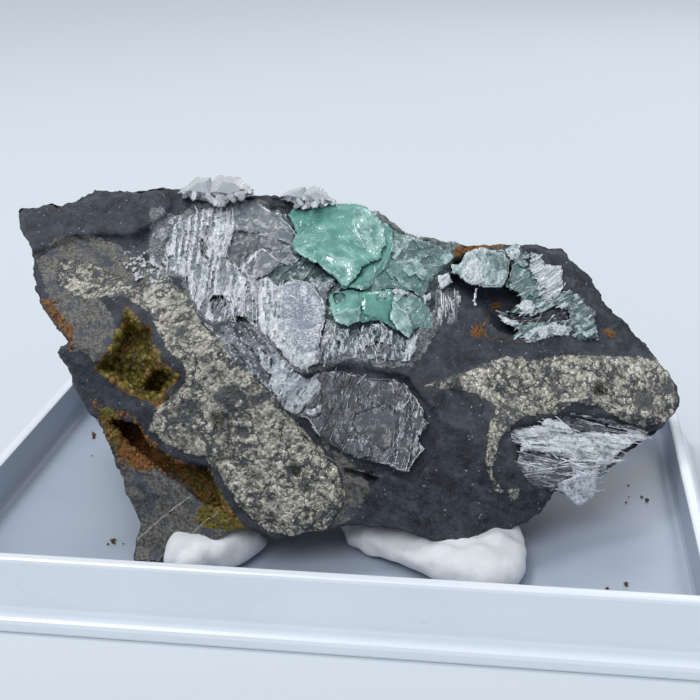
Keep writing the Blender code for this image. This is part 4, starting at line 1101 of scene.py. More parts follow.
@dataclass(frozen=True)
class Flaws:
    """Bright thin flaws that lie in the crystals' fronts and run one way; they also stand in as painted
    glints.
    """

    seed: int
    count: int
    outline: Outline
    length: Spot
    width: Spot
    angle: float
    sway: float = 0.2

    def add_to(self, bm: bmesh.types.BMesh, tree: BVHTree) -> None:
        """Lays the flaws on the surface that the eye sees.

        Args:
            bm: The mesh they are added to.
            tree: The crystals' surface.
        """
        dice = random.Random(self.seed)
        rights, ups = zip(*self.outline)
        eye = SIDE.eye * MM
        across, aloft = SIDE.axes
        laid = 0
        for attempt in range(self.count * 30):
            if laid == self.count:
                break
            u, v = dice.uniform(min(rights), max(rights)), dice.uniform(min(ups), max(ups))
            length, width = dice.uniform(*self.length), dice.uniform(*self.width)
            turned = self.angle + dice.uniform(-self.sway, self.sway)
            if float(inside_depth(np.array([u]), np.array([v]), self.outline)[0]) < 0.0:
                continue
            hit, normal, _, _ = tree.ray_cast(eye, (SIDE.place(u, v, 0.0) - eye).normalized())
            if hit is None:
                continue
            along = math.sin(turned) * across + math.cos(turned) * aloft
            along = (along - along.dot(normal) * normal).normalized()
            side = normal.cross(along)
            half, wide = length / 2.0 * MM, width / 2.0 * MM
            ends = ((-half, 0.0), (-0.5 * half, wide), (0.6 * half, wide), (half, 0.0), (0.5 * half, -wide),
                    (-0.6 * half, -wide))
            low = [hit + along * a + side * c - normal * 0.10 * MM for a, c in ends]
            high = [hit + along * 0.9 * a + side * 0.5 * c + normal * 0.03 * MM for a, c in ends]
            add_hull(bm, low + high)
            laid += 1


@dataclass(frozen=True)
class Seam:
    """A thin raised line that follows the surface, such as a vein or a frosted edge."""

    line: Outline
    width: float = 0.12
    proud: float = 0.05
    seed: int = 1
    waver: float = 0.08

    def add_to(self, bm: bmesh.types.BMesh, tree: BVHTree) -> None:
        """Lays the line on the surface that the eye sees.

        Args:
            bm: The mesh it is added to.
            tree: The surface.
        """
        dice = random.Random(self.seed)
        eye = SIDE.eye * MM
        spots = []
        for start, end in zip(self.line, self.line[1:]):
            steps = max(1, round(math.dist(start, end) / 0.35))
            for step in range(steps):
                share = step / steps
                spots.append(tuple(start[k] + share * (end[k] - start[k]) + dice.uniform(-1, 1) * self.waver
                                   for k in (0, 1)))
        spots.append(self.line[-1])
        before = None
        for u, v in spots:
            hit, normal, _, _ = tree.ray_cast(eye, (SIDE.place(u, v, 0.0) - eye).normalized())
            if hit is not None and before is not None and (hit - before[0]).length < 1.2 * MM:
                half = 0.5 * self.width * dice.uniform(0.6, 1.2) * MM
                corners = []
                for spot, facing in (before, (hit, normal)):
                    side = facing.cross((hit - before[0]).normalized()) * half
                    corners += [spot + side - facing * 0.1 * MM, spot - side - facing * 0.1 * MM,
                                spot + 0.4 * side + facing * self.proud * MM,
                                spot - 0.4 * side + facing * self.proud * MM]
                add_hull(bm, corners)
            before = (hit, normal) if hit is not None else None


def scattered(first: np.ndarray, second: np.ndarray) -> np.ndarray:
    """A fixed random number from 0 to 1 for each pair of whole numbers."""
    return np.modf(np.abs(np.sin(first * 12.9898 + second * 78.233 + 4.1) * 43758.5453))[0]


@dataclass(frozen=True)
class Facet:
    """One face or bundle of laths of a grown mass, as the eye sees it.

    Lift is how far it stands before the mass's level, slope how it tips to the right and up, and angle how
    far its laths lean from upright. Milk, green and blue say how it looks and dark how much painted shade it
    gets in gaps, recesses and see-through windows, each from 0 to 1.
    """

    outline: Outline
    lift: float = 0.0
    slope: Spot = (0.0, 0.0)
    angle: float = 0.15
    pitch: float = 0.5
    ridge: float = 0.4
    length: float = 6.0
    milk: float = 0.5
    # dark is how much painted shade the facet gets in its gaps, recesses and see-through windows.
    dark: float = 0.0
    green: float = 0.0
    blue: float = 0.0
    bevel: float = 0.3

    def laths(self, right: np.ndarray, up: np.ndarray, sway: np.ndarray) -> tuple[np.ndarray, np.ndarray]:
        """The relief of its laths.

        Args:
            right: Places to the right.
            up: Places upwards.
            sway: How far the laths stray at each place, in shares of their width.

        Returns:
            How far each place stands out, and each place's own number from 0 to 1.
        """
        across = (right * math.cos(self.angle) - up * math.sin(self.angle)) / self.pitch + sway
        along = (right * math.sin(self.angle) + up * math.cos(self.angle)) / (self.pitch * self.length)
        lath = np.floor(across)
        piece = np.floor(along + 7.0 * scattered(lath, lath))
        tone = scattered(lath, piece)
        tip = scattered(piece, lath + 31.0) - 0.5
        return self.ridge * (tone - 0.5 + 1.3 * tip * (across - lath - 0.5)), tone


@dataclass(frozen=True)
class GrownMass:
    """Crystals grown into one mass: a stepped surface with a face for each crystal, closed behind."""

    name: str
    nodes: tuple[str, ...]
    slot: Slot
    facets: tuple[Facet, ...]
    flaws: tuple[Flaws, ...] = ()
    seams: tuple[Seam, ...] = ()
    draped: bool = False
    cell: float = 0.15
    thickness: float = 2.0
    back_step: float = 0.5

    def _base(self, rock: MatrixRock, tree: BVHTree, right: np.ndarray, up: np.ndarray) -> np.ndarray:
        """How near the mass's level lies at each place."""
        near = rock.near_side(right, up) - self.back_step
        if self.draped:
            eye = SIDE.eye * MM
            for i, (u, v) in enumerate(zip(right.tolist(), up.tolist())):
                hit = tree.ray_cast(eye, (SIDE.place(u, v, 0.0) - eye).normalized())[0]
                if hit is not None:
                    near[i] = SIDE.seen_all(np.array([hit]))[0, 2]
        return near

    def _relief(
        self, right: np.ndarray, up: np.ndarray
    ) -> tuple[np.ndarray, np.ndarray, dict[Look, np.ndarray]]:
        """How far each place stands out, whether it is in the mass, and its looks."""
        drift = np.array([noise.noise_vector(Vector((u * 0.9, v * 0.9, 3.0))) for u, v in zip(right, up)])
        sway = 1.4 * np.array([noise.noise(Vector((u * 0.35, v * 0.2, 9.0))) for u, v in zip(right, up)])
        strayed = right + 0.30 * drift[:, 0], up + 0.30 * drift[:, 1]
        lift = np.zeros(len(right))
        inside = np.zeros(len(right), dtype=bool)
        looks = {look: np.zeros(len(right)) for look in Look}
        for facet in self.facets:
            depth = inside_depth(*strayed, facet.outline)
            here = depth > 0.0
            middle = np.mean(np.array(facet.outline), axis=0)
            laths, tone = facet.laths(right, up, sway)
            height = facet.lift + laths + facet.slope[0] * (right - middle[0])
            height = height + facet.slope[1] * (up - middle[1])
            height -= facet.bevel * (1.0 - smooth_step(depth / 0.45))
            lift = np.where(here, height, lift)
            spread = min(1.0, 1.6 * facet.ridge)
            shown = {
                Look.MILK: facet.milk + spread * (tone - 0.5) + 0.25 * (1.0 - smooth_step(depth / 0.3)),
                # The dark look is painted shade, weaker on laths of higher tone.
                Look.DARK: facet.dark * (1.0 - 0.5 * spread * tone),
                Look.GREEN: np.full(len(right), facet.green),
                Look.BLUE: np.full(len(right), facet.blue),
            }
            for look, values in shown.items():
                looks[look] = np.where(here, values, looks[look])
            inside |= here
        return lift + 0.06 * drift[:, 2], inside, looks

    def build(
        self, rock: MatrixRock, tree: BVHTree, finish: bpy.types.Material, flaw: bpy.types.Material
    ) -> None:
        """Makes the mass.

        Args:
            rock: The rock it grew on.
            tree: The rock's surface.
            finish: The mass's material.
            flaw: The material of its flaws.
        """
        cell = self.cell * 1.0
        corners = np.concatenate([np.array(facet.outline) for facet in self.facets])
        low, high = corners.min(axis=0), corners.max(axis=0)
        grid = np.meshgrid(np.arange(low[0] - cell, high[0] + 2.0 * cell, cell),
                           np.arange(low[1] - cell, high[1] + 2.0 * cell, cell))
        rows, columns = grid[0].shape
        right, up = grid[0].ravel(), grid[1].ravel()
        lift, inside, looks = self._relief(right, up)
        inside = inside.reshape(rows, columns)
        kept = inside[:-1, :-1] & inside[:-1, 1:] & inside[1:, 1:] & inside[1:, :-1]
        number = np.arange(rows * columns).reshape(rows, columns)
        ring = np.stack((number[:-1, :-1], number[:-1, 1:], number[1:, 1:], number[1:, :-1]), axis=-1)
        front = ring[kept]
        used, front = np.unique(front, return_inverse=True)
        front = front.reshape(-1, 4)
        near = self._base(rock, tree, right[used], up[used])
        seen = np.column_stack((right[used], up[used], near + lift[used]))
        floor = rock.floor_near(np.column_stack((right[used], up[used]))) - 0.3
        behind = np.column_stack((right[used], up[used], np.minimum(near - self.thickness, floor)))
        points = SIDE.place_all(np.concatenate((seen, behind)))
        count = len(used)
        edges = np.concatenate([front[:, [k, (k + 1) % 4]] for k in range(4)])
        forward = {(a, b) for a, b in edges.tolist()}
        rim = [(b, a, a + count, b + count) for a, b in edges.tolist() if (b, a) not in forward]
        mesh = bpy.data.meshes.new(self.name)
        mesh.from_pydata(points.tolist(), [], front.tolist() + (front[:, ::-1] + count).tolist() + rim)
        mesh.update()
        for look, values in looks.items():
            layer = mesh.attributes.new(look.value, "FLOAT", "POINT")
            layer.data.foreach_set("value", np.clip(np.tile(values[used], 2), 0.0, 1.0).astype(np.float32))
        piece = link(self.name, mesh)
        finish_piece(piece, finish, self.nodes)
        if self.flaws or self.seams:
            shown = BVHTree.FromPolygons([Vector(point) for point in points[:count]], front.tolist())
            bm = bmesh.new()
            for item in self.flaws + self.seams:
                item.add_to(bm, shown)
            finish_piece(link(f"{self.name}_flaws", as_mesh(bm, f"{self.name}_flaws")), flaw)


@dataclass
class CrystalGroup:
    """Separate crystals that stand together."""

    name: str
    nodes: tuple[str, ...]
    slot: Slot
    blades: tuple[Blade, ...]
    crowds: tuple[Crowd, ...] = ()
    sunk: float = 0.5

    def build(self, rock: MatrixRock, finish: bpy.types.Material) -> None:
        """Makes the crystals.

        Args:
            rock: The rock they stand on.
            finish: The crystals' material.
        """
        bm = bmesh.new()
        for blade in self.blades:
            blade.add_to(bm, rock, self.sunk)
        for crowd in self.crowds:
            for blade in crowd.blades():
                blade.add_to(bm, rock, self.sunk)
        finish_piece(link(self.name, as_mesh(bm, self.name)), finish, self.nodes)


def seat(corners: Outline, rise: float = 0.5) -> Blade:
    """The low mass that a group's crystals grow from."""
    return Blade(corners, rise=rise, relief=0.5, inset=0.9)


TOP_PLATE = (
    (-14.8, 18.6), (-11.9, 18.9), (-11.0, 17.9), (-9.1, 16.8), (-7.5, 15.4), (-6.7, 14.2), (-11.5, 14.2),
    (-13.9, 15.1), (-14.6, 14.6),
)
FRAMED = ((-11.8, 12.2), (-11.0, 12.7), (-8.7, 11.0), (-10.4, 9.4), (-12.2, 8.6), (-11.9, 11.0))
SILVER = (
    (-8.6, 7.8), (-7.5, 8.8), (-5.4, 8.6), (-4.1, 7.0), (-2.8, 5.5), (-3.1, 4.0), (-3.7, 2.2), (-3.8, -1.1),
    (-5.9, -2.5), (-7.6, -1.8), (-11.4, 2.2), (-11.4, 6.9),
)
BLADE_A = ((-13.2, 7.4), (-12.4, 7.8), (-11.8, 7.2), (-11.6, 3.0), (-12.5, 3.5), (-13.2, 4.5))
BLADE_B = ((-12.2, 6.8), (-11.4, 7.1), (-10.9, 6.2), (-10.8, 2.0), (-11.6, 2.5), (-12.2, 3.5))
DRUSE = (
    (-0.4, 7.5), (-0.1, 9.2), (1.1, 10.5), (4.0, 11.1), (5.1, 13.6), (6.5, 14.4), (11.2, 13.8),
    (13.5, 12.9), (12.5, 10.4), (11.0, 8.5), (10.4, 6.8), (10.8, 4.8), (8.5, 6.2), (5.2, 7.5), (1.5, 7.6),
)
OLIVE = (
    (-2.9, 4.0), (-2.0, 3.6), (0.1, 2.6), (1.4, 4.4), (3.5, 3.6), (5.2, 3.0), (7.2, 1.1), (8.2, 2.5),
    (8.8, 2.1), (8.4, -1.2), (5.6, -0.6), (3.5, -1.5), (1.5, -0.8), (0.0, -0.5), (-1.5, -1.2), (-3.5, -2.0),
    (-3.5, 1.9),
)
STRIATED_ALL = (
    (-21.0, 15.9), (-18.9, 17.4), (-17.4, 17.7), (-15.4, 17.1), (-14.6, 16.0), (-15.4, 11.7), (-13.9, 10.1),
    (-13.5, 8.6), (-11.8, 8.2), (-11.8, 6.9), (-13.2, 5.3), (-13.9, 4.2), (-16.1, 3.4), (-17.0, 3.2),
    (-20.1, 5.8), (-20.2, 9.0), (-23.1, 9.3), (-22.6, 12.4), (-21.8, 13.8),
)
BLADED_CORNERS = (
    (20.4, 12.0), (23.6, 11.8), (26.0, 9.6), (28.2, 6.4), (28.8, 3.4), (27.0, 1.2), (22.6, 1.4),
    (18.4, 2.6), (18.8, 5.4), (20.2, 7.6), (20.4, 9.6),
)
FIBRE_CORNERS = (
    (20.6, -9.8), (26.0, -8.6), (34.0, -9.4), (38.0, -10.6), (37.4, -12.2), (34.0, -14.4), (31.2, -16.6),
    (28.8, -19.4), (26.6, -17.8), (23.6, -16.6), (21.4, -14.2),
)
STRIPES = ((11.6, 8.0), (13.6, 8.0), (13.6, 3.6), (10.8, 3.8))
SILVER_FOOT = ((-11.4, 2.6), (-4.0, 2.6), (-3.8, -1.1), (-5.9, -2.5), (-7.6, -1.8))
LEFT_FLAKES = ((-30.0, 13.0), (-25.0, 13.6), (-22.6, 11.0), (-22.0, 7.6), (-24.4, 6.6), (-28.0, 9.4))
PLATE = (
    (-8.1, -7.2), (-3.6, -2.8), (-1.0, -2.8), (1.5, -3.5), (6.0, -3.8), (7.5, -4.9), (10.0, -9.2),
    (9.0, -10.8), (9.5, -12.1), (7.9, -13.9), (7.4, -15.4), (4.8, -14.2), (-0.4, -13.5), (-3.0, -11.9),
    (-5.2, -8.5),
)
RUST_LINES = (
    Seam(((17.8, 5.3), (17.4, 4.5), (16.8, 3.3), (16.3, 2.7), (16.9, 2.1), (17.6, 1.2)), 0.3, 0.06, 11),
    Seam(((17.6, 1.2), (18.4, 1.6), (19.9, 1.1), (21.7, 0.8)), 0.18, 0.06, 12),
    Seam(((20.4, 5.5), (21.2, 6.2), (21.1, 7.0), (19.1, 7.8)), 0.14, 0.05, 13),
    Seam(((-32.0, -2.4), (-28.9, -4.7), (-26.1, -6.1), (-23.8, -6.8), (-22.4, -5.4), (-21.5, -3.4)), 0.2,
        0.06, 14),
    Seam(((-29.1, 1.3), (-28.4, 3.3), (-27.9, 5.0), (-26.8, 4.0), (-27.2, 3.0), (-26.1, 2.5), (-24.9, 2.8),
        (-24.7, 0.8), (-23.5, -1.3), (-21.5, -3.4)), 0.16, 0.06, 15),
    Seam(((-28.4, -7.3), (-27.1, -8.2), (-25.7, -10.5), (-23.4, -12.8), (-21.0, -14.3), (-17.8, -15.4),
        (-16.0, -18.2), (-14.3, -21.2), (-11.8, -23.0)), 0.2, 0.06, 16),
)


CLEAR_CRYSTALS_FACETS = (
    Facet(((-25.0, 18.0), (-21.5, 17.0), (-18.8, 18.2), (-14.8, 19.0), (-11.0, 18.8), (-7.5, 17.0),
          (-6.2, 18.0), (3.8, 17.5), (6.5, 14.8), (13.8, 13.4), (10.8, 2.5), (10.0, 0.6), (8.1, -1.8),
          (3.5, -2.0), (0.0, -1.0), (-3.5, -2.5), (-5.9, -3.0), (-8.0, -2.2), (-11.5, 1.8), (-13.8, 4.0),
          (-16.5, 3.0), (-20.5, 5.5), (-20.8, 8.5), (-23.5, 9.0), (-25.2, 11.8)),
          lift=-1.7, milk=0.34, dark=0.5, green=0.22, ridge=0.4, pitch=0.6, angle=0.6, length=3.0),
    Facet(((-23.1, 16.3), (-22.0, 16.6), (-18.8, 17.5), (-16.8, 18.0), (-14.9, 18.5), (-14.4, 18.8),
          (-12.1, 18.9), (-9.2, 17.0), (-7.7, 15.9), (-6.7, 14.6), (-7.0, 13.1), (-6.2, 11.4), (-4.0, 10.6),
          (-1.3, 8.4), (-2.8, 7.4), (-3.0, 4.2), (-3.5, 2.0), (-3.7, -0.7), (-4.0, -1.7), (-5.2, -2.5),
          (-6.7, -2.5), (-7.7, -1.5), (-11.2, 2.0), (-12.9, 4.0), (-14.1, 4.2), (-15.9, 3.2), (-16.8, 2.8),
          (-19.1, 4.2), (-20.1, 5.9), (-20.3, 7.9), (-20.3, 9.1), (-23.0, 9.1), (-23.0, 12.8),
          (-22.3, 14.8)), lift=-0.6, milk=0.5, dark=0.15),
    Facet(((-24.5, 17.5), (-23.8, 17.9), (-22.3, 17.5), (-22.2, 16.6), (-23.5, 15.9), (-24.0, 16.3)),
          lift=-0.9, milk=0.35, dark=0.4, ridge=0.15),
    Facet(((-24.9, 14.1), (-23.8, 15.9), (-22.2, 15.7), (-22.2, 14.3), (-23.5, 12.1), (-24.8, 12.2)),
          lift=-0.8, milk=0.3, dark=0.45, ridge=0.15, angle=0.5),
    Facet(((-23.0, 9.1), (-22.9, 12.8), (-22.0, 15.6), (-18.8, 17.5), (-16.6, 17.8), (-14.9, 17.3),
          (-14.6, 15.8), (-15.1, 13.1), (-15.6, 11.6), (-13.6, 9.6), (-12.1, 8.4), (-11.2, 7.4),
          (-11.4, 3.5), (-12.6, 4.0), (-14.1, 4.2), (-16.8, 3.0), (-19.1, 4.2), (-20.1, 5.9), (-20.3, 9.1)),
          milk=0.64, ridge=0.55, pitch=0.36, length=9.0),
    Facet(((-16.8, 16.3), (-15.1, 17.0), (-14.9, 13.8), (-15.6, 11.4), (-16.8, 11.9), (-17.6, 13.8)),
          lift=0.15, milk=0.85, ridge=0.3, pitch=0.3, angle=0.2),
    Facet(((-19.2, 13.6), (-18.5, 13.8), (-18.0, 12.7), (-17.6, 11.4), (-18.5, 11.9)),
          lift=-0.7, milk=0.2, dark=0.65),
    Facet(((-14.9, 18.5), (-14.4, 18.8), (-12.1, 18.9), (-9.2, 17.0), (-7.7, 15.9), (-6.7, 14.6),
          (-7.0, 13.1), (-8.9, 13.1), (-9.2, 13.8), (-11.2, 14.7), (-14.4, 15.1), (-14.9, 16.8)),
          lift=-0.3, milk=0.38, dark=0.12, ridge=0.1, pitch=1.6, angle=0.7),
    Facet(((-14.4, 14.9), (-11.2, 14.6), (-11.2, 13.8), (-11.7, 12.1), (-13.1, 11.9), (-13.9, 11.4),
          (-13.6, 9.9), (-14.1, 10.1), (-15.5, 11.5), (-15.1, 13.1)),
          lift=-0.6, milk=0.05, dark=0.72, ridge=0.1, pitch=0.8, angle=0.5),
    Facet(((-11.2, 14.6), (-9.2, 13.8), (-7.0, 13.1), (-6.7, 12.1), (-6.2, 11.4), (-7.7, 10.6),
          (-8.7, 11.1), (-10.2, 12.4), (-11.2, 12.6)),
          lift=-0.5, milk=0.3, dark=0.3, ridge=0.15, pitch=0.9, angle=0.3),
    Facet(((-13.6, 11.4), (-11.7, 12.4), (-11.9, 10.4), (-12.1, 8.9), (-13.6, 9.9)),
          lift=-0.5, milk=0.45, dark=0.35, ridge=0.3, angle=0.4),
    Facet(((-8.8, 11.0), (-7.7, 10.6), (-6.2, 11.4), (-4.0, 10.6), (-1.3, 8.4), (-3.3, 8.4), (-4.7, 8.6),
          (-6.2, 8.6), (-7.7, 8.4), (-8.9, 7.9), (-9.9, 8.4), (-10.4, 9.1), (-8.9, 10.4)),
          lift=-0.9, milk=0.3, dark=0.6, green=0.25, ridge=0.35, pitch=0.5, angle=0.9, length=3.0),
    Facet(((-17.6, 6.4), (-15.9, 6.9), (-15.3, 5.9), (-15.8, 4.0), (-17.0, 4.4)),
          lift=-1.3, milk=0.15, dark=0.8, ridge=0.4),
    Facet(((-11.2, 8.9), (-10.2, 9.4), (-8.9, 7.9), (-8.7, 5.9), (-8.9, 4.0), (-7.7, -0.5), (-9.2, 0.2),
          (-11.2, 2.5), (-11.4, 4.0), (-11.2, 6.4)),
          lift=0.1, milk=0.82, ridge=0.4, pitch=0.28, angle=0.05),
    Facet(((-8.9, 7.9), (-7.7, 8.4), (-6.0, 8.6), (-4.5, 8.2), (-4.0, 6.9), (-3.1, 5.9), (-3.0, 4.2),
          (-3.5, 2.0), (-3.7, -0.7), (-5.2, -1.7), (-6.7, -1.7), (-7.9, -0.5), (-8.9, 4.0), (-8.7, 5.9)),
          lift=0.35, slope=(-0.05, 0.1), milk=0.52, blue=0.4, ridge=0.16, pitch=0.5, angle=-0.05,
          length=9.0),
    Facet(((-10.2, 1.5), (-7.7, 0.5), (-5.7, -0.5), (-4.0, -0.0), (-3.9, -1.7), (-5.2, -2.5), (-6.7, -2.5),
          (-7.9, -1.2)), lift=0.2, milk=1.0, ridge=0.3, pitch=0.3, angle=0.3, length=2.5),
    Facet(((-12.9, 6.2), (-11.4, 5.9), (-11.4, 3.5), (-12.6, 4.0)),
          lift=0.1, milk=0.3, dark=0.35, blue=0.3, ridge=0.2, angle=0.0),
    Facet(((-11.7, 12.4), (-10.9, 12.6), (-10.2, 12.1), (-8.8, 11.0), (-10.2, 9.6), (-10.9, 9.1),
          (-12.1, 8.9), (-11.8, 10.4)), lift=0.5, milk=0.35, dark=0.2, ridge=0.05, pitch=1.5),
)

GREEN_CRYSTALS_UPPER_FACETS = (
    Facet(((-7.9, 16.8), (-7.2, 17.5), (-2.8, 18.2), (0.2, 18.5), (2.4, 17.8), (4.2, 16.2), (5.4, 15.3),
          (5.6, 13.1), (4.7, 10.9), (2.4, 7.9), (1.7, 7.5), (-0.8, 7.7), (-1.3, 8.4), (-4.0, 10.6),
          (-6.7, 12.1), (-7.3, 13.3), (-6.6, 14.8)),
          lift=-0.9, milk=0.35, green=0.85, ridge=0.15, pitch=1.2),
    Facet(((-7.9, 16.8), (-7.2, 17.5), (-2.8, 18.2), (-1.3, 18.0), (-1.3, 16.3), (-3.7, 15.9), (-6.0, 15.2),
          (-6.7, 14.8)), lift=-0.6, milk=0.4, green=0.95, ridge=0.12, pitch=1.4, angle=-0.4),
    Facet(((-7.3, 13.3), (-6.2, 15.1), (-3.7, 16.3), (-1.3, 17.8), (0.2, 18.5), (2.4, 17.8), (4.2, 16.1),
          (4.5, 13.1), (3.7, 11.4), (1.7, 10.4), (0.7, 8.9), (-0.3, 7.8), (-1.3, 8.4), (-4.0, 10.6),
          (-6.7, 12.1)),
          lift=0.2, slope=(0.0, -0.05), milk=0.42, green=1.0, ridge=0.12, pitch=1.6, angle=-0.5),
    Facet(((-6.7, 13.8), (-3.3, 15.9), (-2.8, 14.6), (-3.7, 13.1), (-4.5, 11.4), (-6.2, 12.1),
          (-7.2, 13.2)), lift=0.35, milk=0.5, green=0.95, ridge=0.14, pitch=0.8, angle=1.4),
    Facet(((0.6, 18.0), (2.4, 17.5), (4.2, 15.9), (4.4, 13.1), (3.2, 11.4), (1.2, 13.1), (0.2, 15.6)),
          lift=0.1, slope=(-0.15, 0.0), milk=0.66, green=0.85, ridge=0.22, pitch=0.35, angle=-0.35),
    Facet(((-4.0, 10.9), (-3.0, 12.1), (-1.3, 11.6), (0.7, 11.4), (0.7, 8.9), (-0.3, 7.8), (-1.3, 8.4)),
          lift=0.3, slope=(0.0, 0.2), milk=0.6, green=0.9, ridge=0.14, pitch=0.7, angle=-0.6),
    Facet(((-0.5, 7.7), (-0.0, 8.4), (1.2, 9.6), (2.4, 10.6), (4.2, 11.4), (2.4, 7.9), (1.7, 7.5)),
          lift=-0.5, milk=0.4, dark=0.1, green=0.85, ridge=0.2, pitch=0.8),
)

GREEN_CRYSTALS_LOWER_FACETS = (
    Facet(((-2.6, 7.2), (-0.5, 7.6), (5.4, 7.5), (7.6, 7.4), (9.6, 6.2), (10.6, 3.0), (8.2, 2.5),
          (7.4, 1.4), (5.9, 2.5), (3.4, 3.5), (1.2, 3.4), (-0.3, 2.8), (-1.8, 3.5), (-2.6, 5.2)),
          lift=-0.6, milk=0.25, dark=0.1, green=0.8, ridge=0.2, pitch=0.8),
    Facet(((-2.6, 7.2), (-0.5, 7.5), (1.4, 7.4), (1.4, 5.4), (1.2, 3.5), (-0.3, 2.8), (-1.8, 3.5),
          (-2.6, 5.2)), lift=0.0, milk=0.38, green=0.9, ridge=0.1, pitch=1.2, angle=0.2),
    Facet(((-2.4, 4.7), (1.3, 5.4), (1.2, 3.5), (-0.3, 2.8), (-1.8, 3.5)),
          lift=0.2, milk=0.62, green=0.75, ridge=0.1, pitch=1.0),
    Facet(((-2.1, 7.0), (-0.7, 7.3), (-0.5, 6.2), (-1.8, 5.9)),
          lift=-0.3, milk=0.25, dark=0.35, green=0.8, ridge=0.2, pitch=0.5, angle=0.7),
    Facet(((1.4, 7.4), (4.2, 7.4), (5.4, 6.7), (5.4, 4.9), (4.9, 3.5), (3.4, 3.7), (1.8, 4.4), (1.4, 5.4)),
          lift=-0.15, slope=(-0.1, 0.0), milk=0.3, green=1.0, ridge=0.1, pitch=1.4, angle=-0.3),
    Facet(((3.2, 7.0), (4.5, 7.2), (4.4, 6.3), (3.4, 6.1)),
          lift=-0.1, milk=0.5, green=0.6, ridge=0.3, pitch=0.3, angle=0.6, length=2.0),
    Facet(((5.4, 7.6), (7.6, 7.4), (9.1, 6.4), (10.1, 5.4), (10.6, 3.0), (8.2, 2.7), (7.1, 4.7),
          (5.6, 5.9)),
          lift=-0.5, milk=0.42, dark=0.15, green=0.55, ridge=0.3, pitch=0.7, angle=0.6, length=3.0),
    Facet(((5.4, 6.4), (7.1, 4.8), (7.9, 3.0), (7.4, 1.3), (5.9, 2.5), (5.0, 4.0), (5.3, 5.4)),
          lift=0.35, milk=0.62, green=0.62, ridge=0.1, pitch=0.9, angle=-0.4),
    Facet(((5.3, 7.4), (6.1, 7.7), (7.6, 7.4), (7.4, 6.9), (5.8, 6.9)),
          lift=0.0, milk=1.0, green=0.05, ridge=0.3, pitch=0.3, angle=1.2, length=2.0),
)

GREEN_DRUSE_CRUST_FACETS = (
    Facet(((2.4, 17.5), (4.2, 16.3), (6.1, 14.8), (8.1, 14.2), (12.1, 13.1), (11.1, 13.4), (13.1, 13.1),
          (14.1, 12.4), (12.6, 10.9), (10.9, 9.4), (10.0, 7.9), (8.8, 6.0), (9.6, 4.0), (10.3, 5.4),
          (9.1, 6.4), (7.6, 7.5), (5.1, 7.4), (1.7, 7.5), (2.4, 8.9), (4.2, 11.4), (4.4, 13.8)),
          lift=-1.0, milk=0.34, dark=0.36, green=0.5, ridge=0.45, pitch=0.8, angle=0.7, length=2.0),
    Facet(((2.7, 10.9), (4.7, 11.4), (7.9, 11.4), (9.6, 9.9), (9.1, 7.4), (5.1, 7.5), (1.9, 7.7)),
          lift=-0.7, milk=0.4, dark=0.22, green=0.62, ridge=0.35, pitch=0.7, angle=-0.6, length=2.0),
    Facet(((10.9, 9.1), (12.0, 9.8), (12.7, 9.5), (12.3, 8.1), (11.0, 7.6)),
          lift=-0.2, milk=0.95, green=0.08, ridge=0.3, pitch=0.4, length=2.0),
    Facet(((9.1, 6.6), (10.0, 7.3), (10.3, 6.5), (9.4, 5.9)),
          lift=-0.2, milk=0.95, green=0.1, ridge=0.3, pitch=0.3, angle=0.8, length=2.0),
)

OLIVE_BLADE_BAND_FACETS = (
    Facet(((-3.0, 4.0), (-1.3, 2.9), (1.2, 2.7), (3.4, 3.4), (5.4, 2.5), (7.1, 1.3), (8.6, 2.5),
          (8.4, -0.3), (7.4, -1.5), (4.7, -1.3), (0.9, -1.0), (-0.5, -0.7), (-2.8, -1.7), (-4.0, -2.0),
          (-3.5, 1.5)),
          lift=-0.7, milk=0.42, dark=0.55, green=0.12, ridge=0.5, pitch=0.35, angle=0.12, length=5.0),
    Facet(((1.7, 0.2), (3.2, 1.0), (5.4, 0.7), (4.9, -0.3), (2.2, -0.5)),
          lift=-1.1, milk=0.15, dark=0.8, ridge=0.3, pitch=0.5),
    Facet(((-3.5, 1.5), (-3.0, 4.0), (-1.3, 2.9), (-2.0, 0.7), (-3.3, -1.5)),
          lift=-0.3, milk=0.35, dark=0.4, ridge=0.2, pitch=0.6, angle=0.6),
    Facet(((7.4, 1.2), (8.6, 2.0), (8.4, -0.3), (7.4, -1.5)),
          lift=-0.2, milk=0.85, ridge=0.3, pitch=0.3, length=2.0),
)

PALE_CRYSTALS_RIGHT_FACETS = (
    Facet(((14.6, 12.2), (16.1, 12.8), (19.1, 12.6), (20.1, 11.3), (20.0, 9.8), (19.1, 7.8), (16.1, 7.8),
          (14.1, 8.5), (12.6, 9.7), (13.9, 11.3)),
          lift=0.0, milk=0.66, dark=0.08, green=0.32, ridge=0.3, pitch=0.8, angle=0.1, length=3.0),
    Facet(((14.4, 11.1), (16.1, 11.4), (16.8, 8.8), (15.7, 7.9), (14.1, 8.7)),
          lift=0.35, milk=0.95, green=0.04, ridge=0.25, pitch=0.4, angle=-0.2, length=3.0),
    Facet(((16.9, 11.8), (18.2, 12.2), (18.9, 10.9), (18.4, 8.5), (17.1, 8.3), (16.7, 10.0)),
          lift=0.15, milk=0.55, green=0.4, ridge=0.15, pitch=0.8),
    Facet(((10.9, 9.4), (12.4, 9.8), (12.9, 8.5), (11.2, 7.5)),
          lift=0.0, milk=0.95, green=0.05, ridge=0.3, pitch=0.4, length=2.0),
    Facet(((12.6, 10.6), (14.1, 10.7), (14.2, 9.4), (12.9, 9.4)),
          lift=0.2, milk=0.7, green=0.45, ridge=0.1, pitch=0.6),
    Facet(((10.7, 7.1), (13.4, 7.7), (13.9, 6.4), (13.7, 3.3), (12.0, 2.9), (10.8, 3.2)),
          lift=-0.5, milk=0.35, dark=0.75, ridge=0.4, pitch=0.42, angle=0.04, length=9.0),
    Facet(((15.5, 7.6), (15.9, 7.6), (15.9, 5.5), (15.5, 5.5)), lift=-0.2, milk=0.75, dark=0.2, ridge=0.1),
)

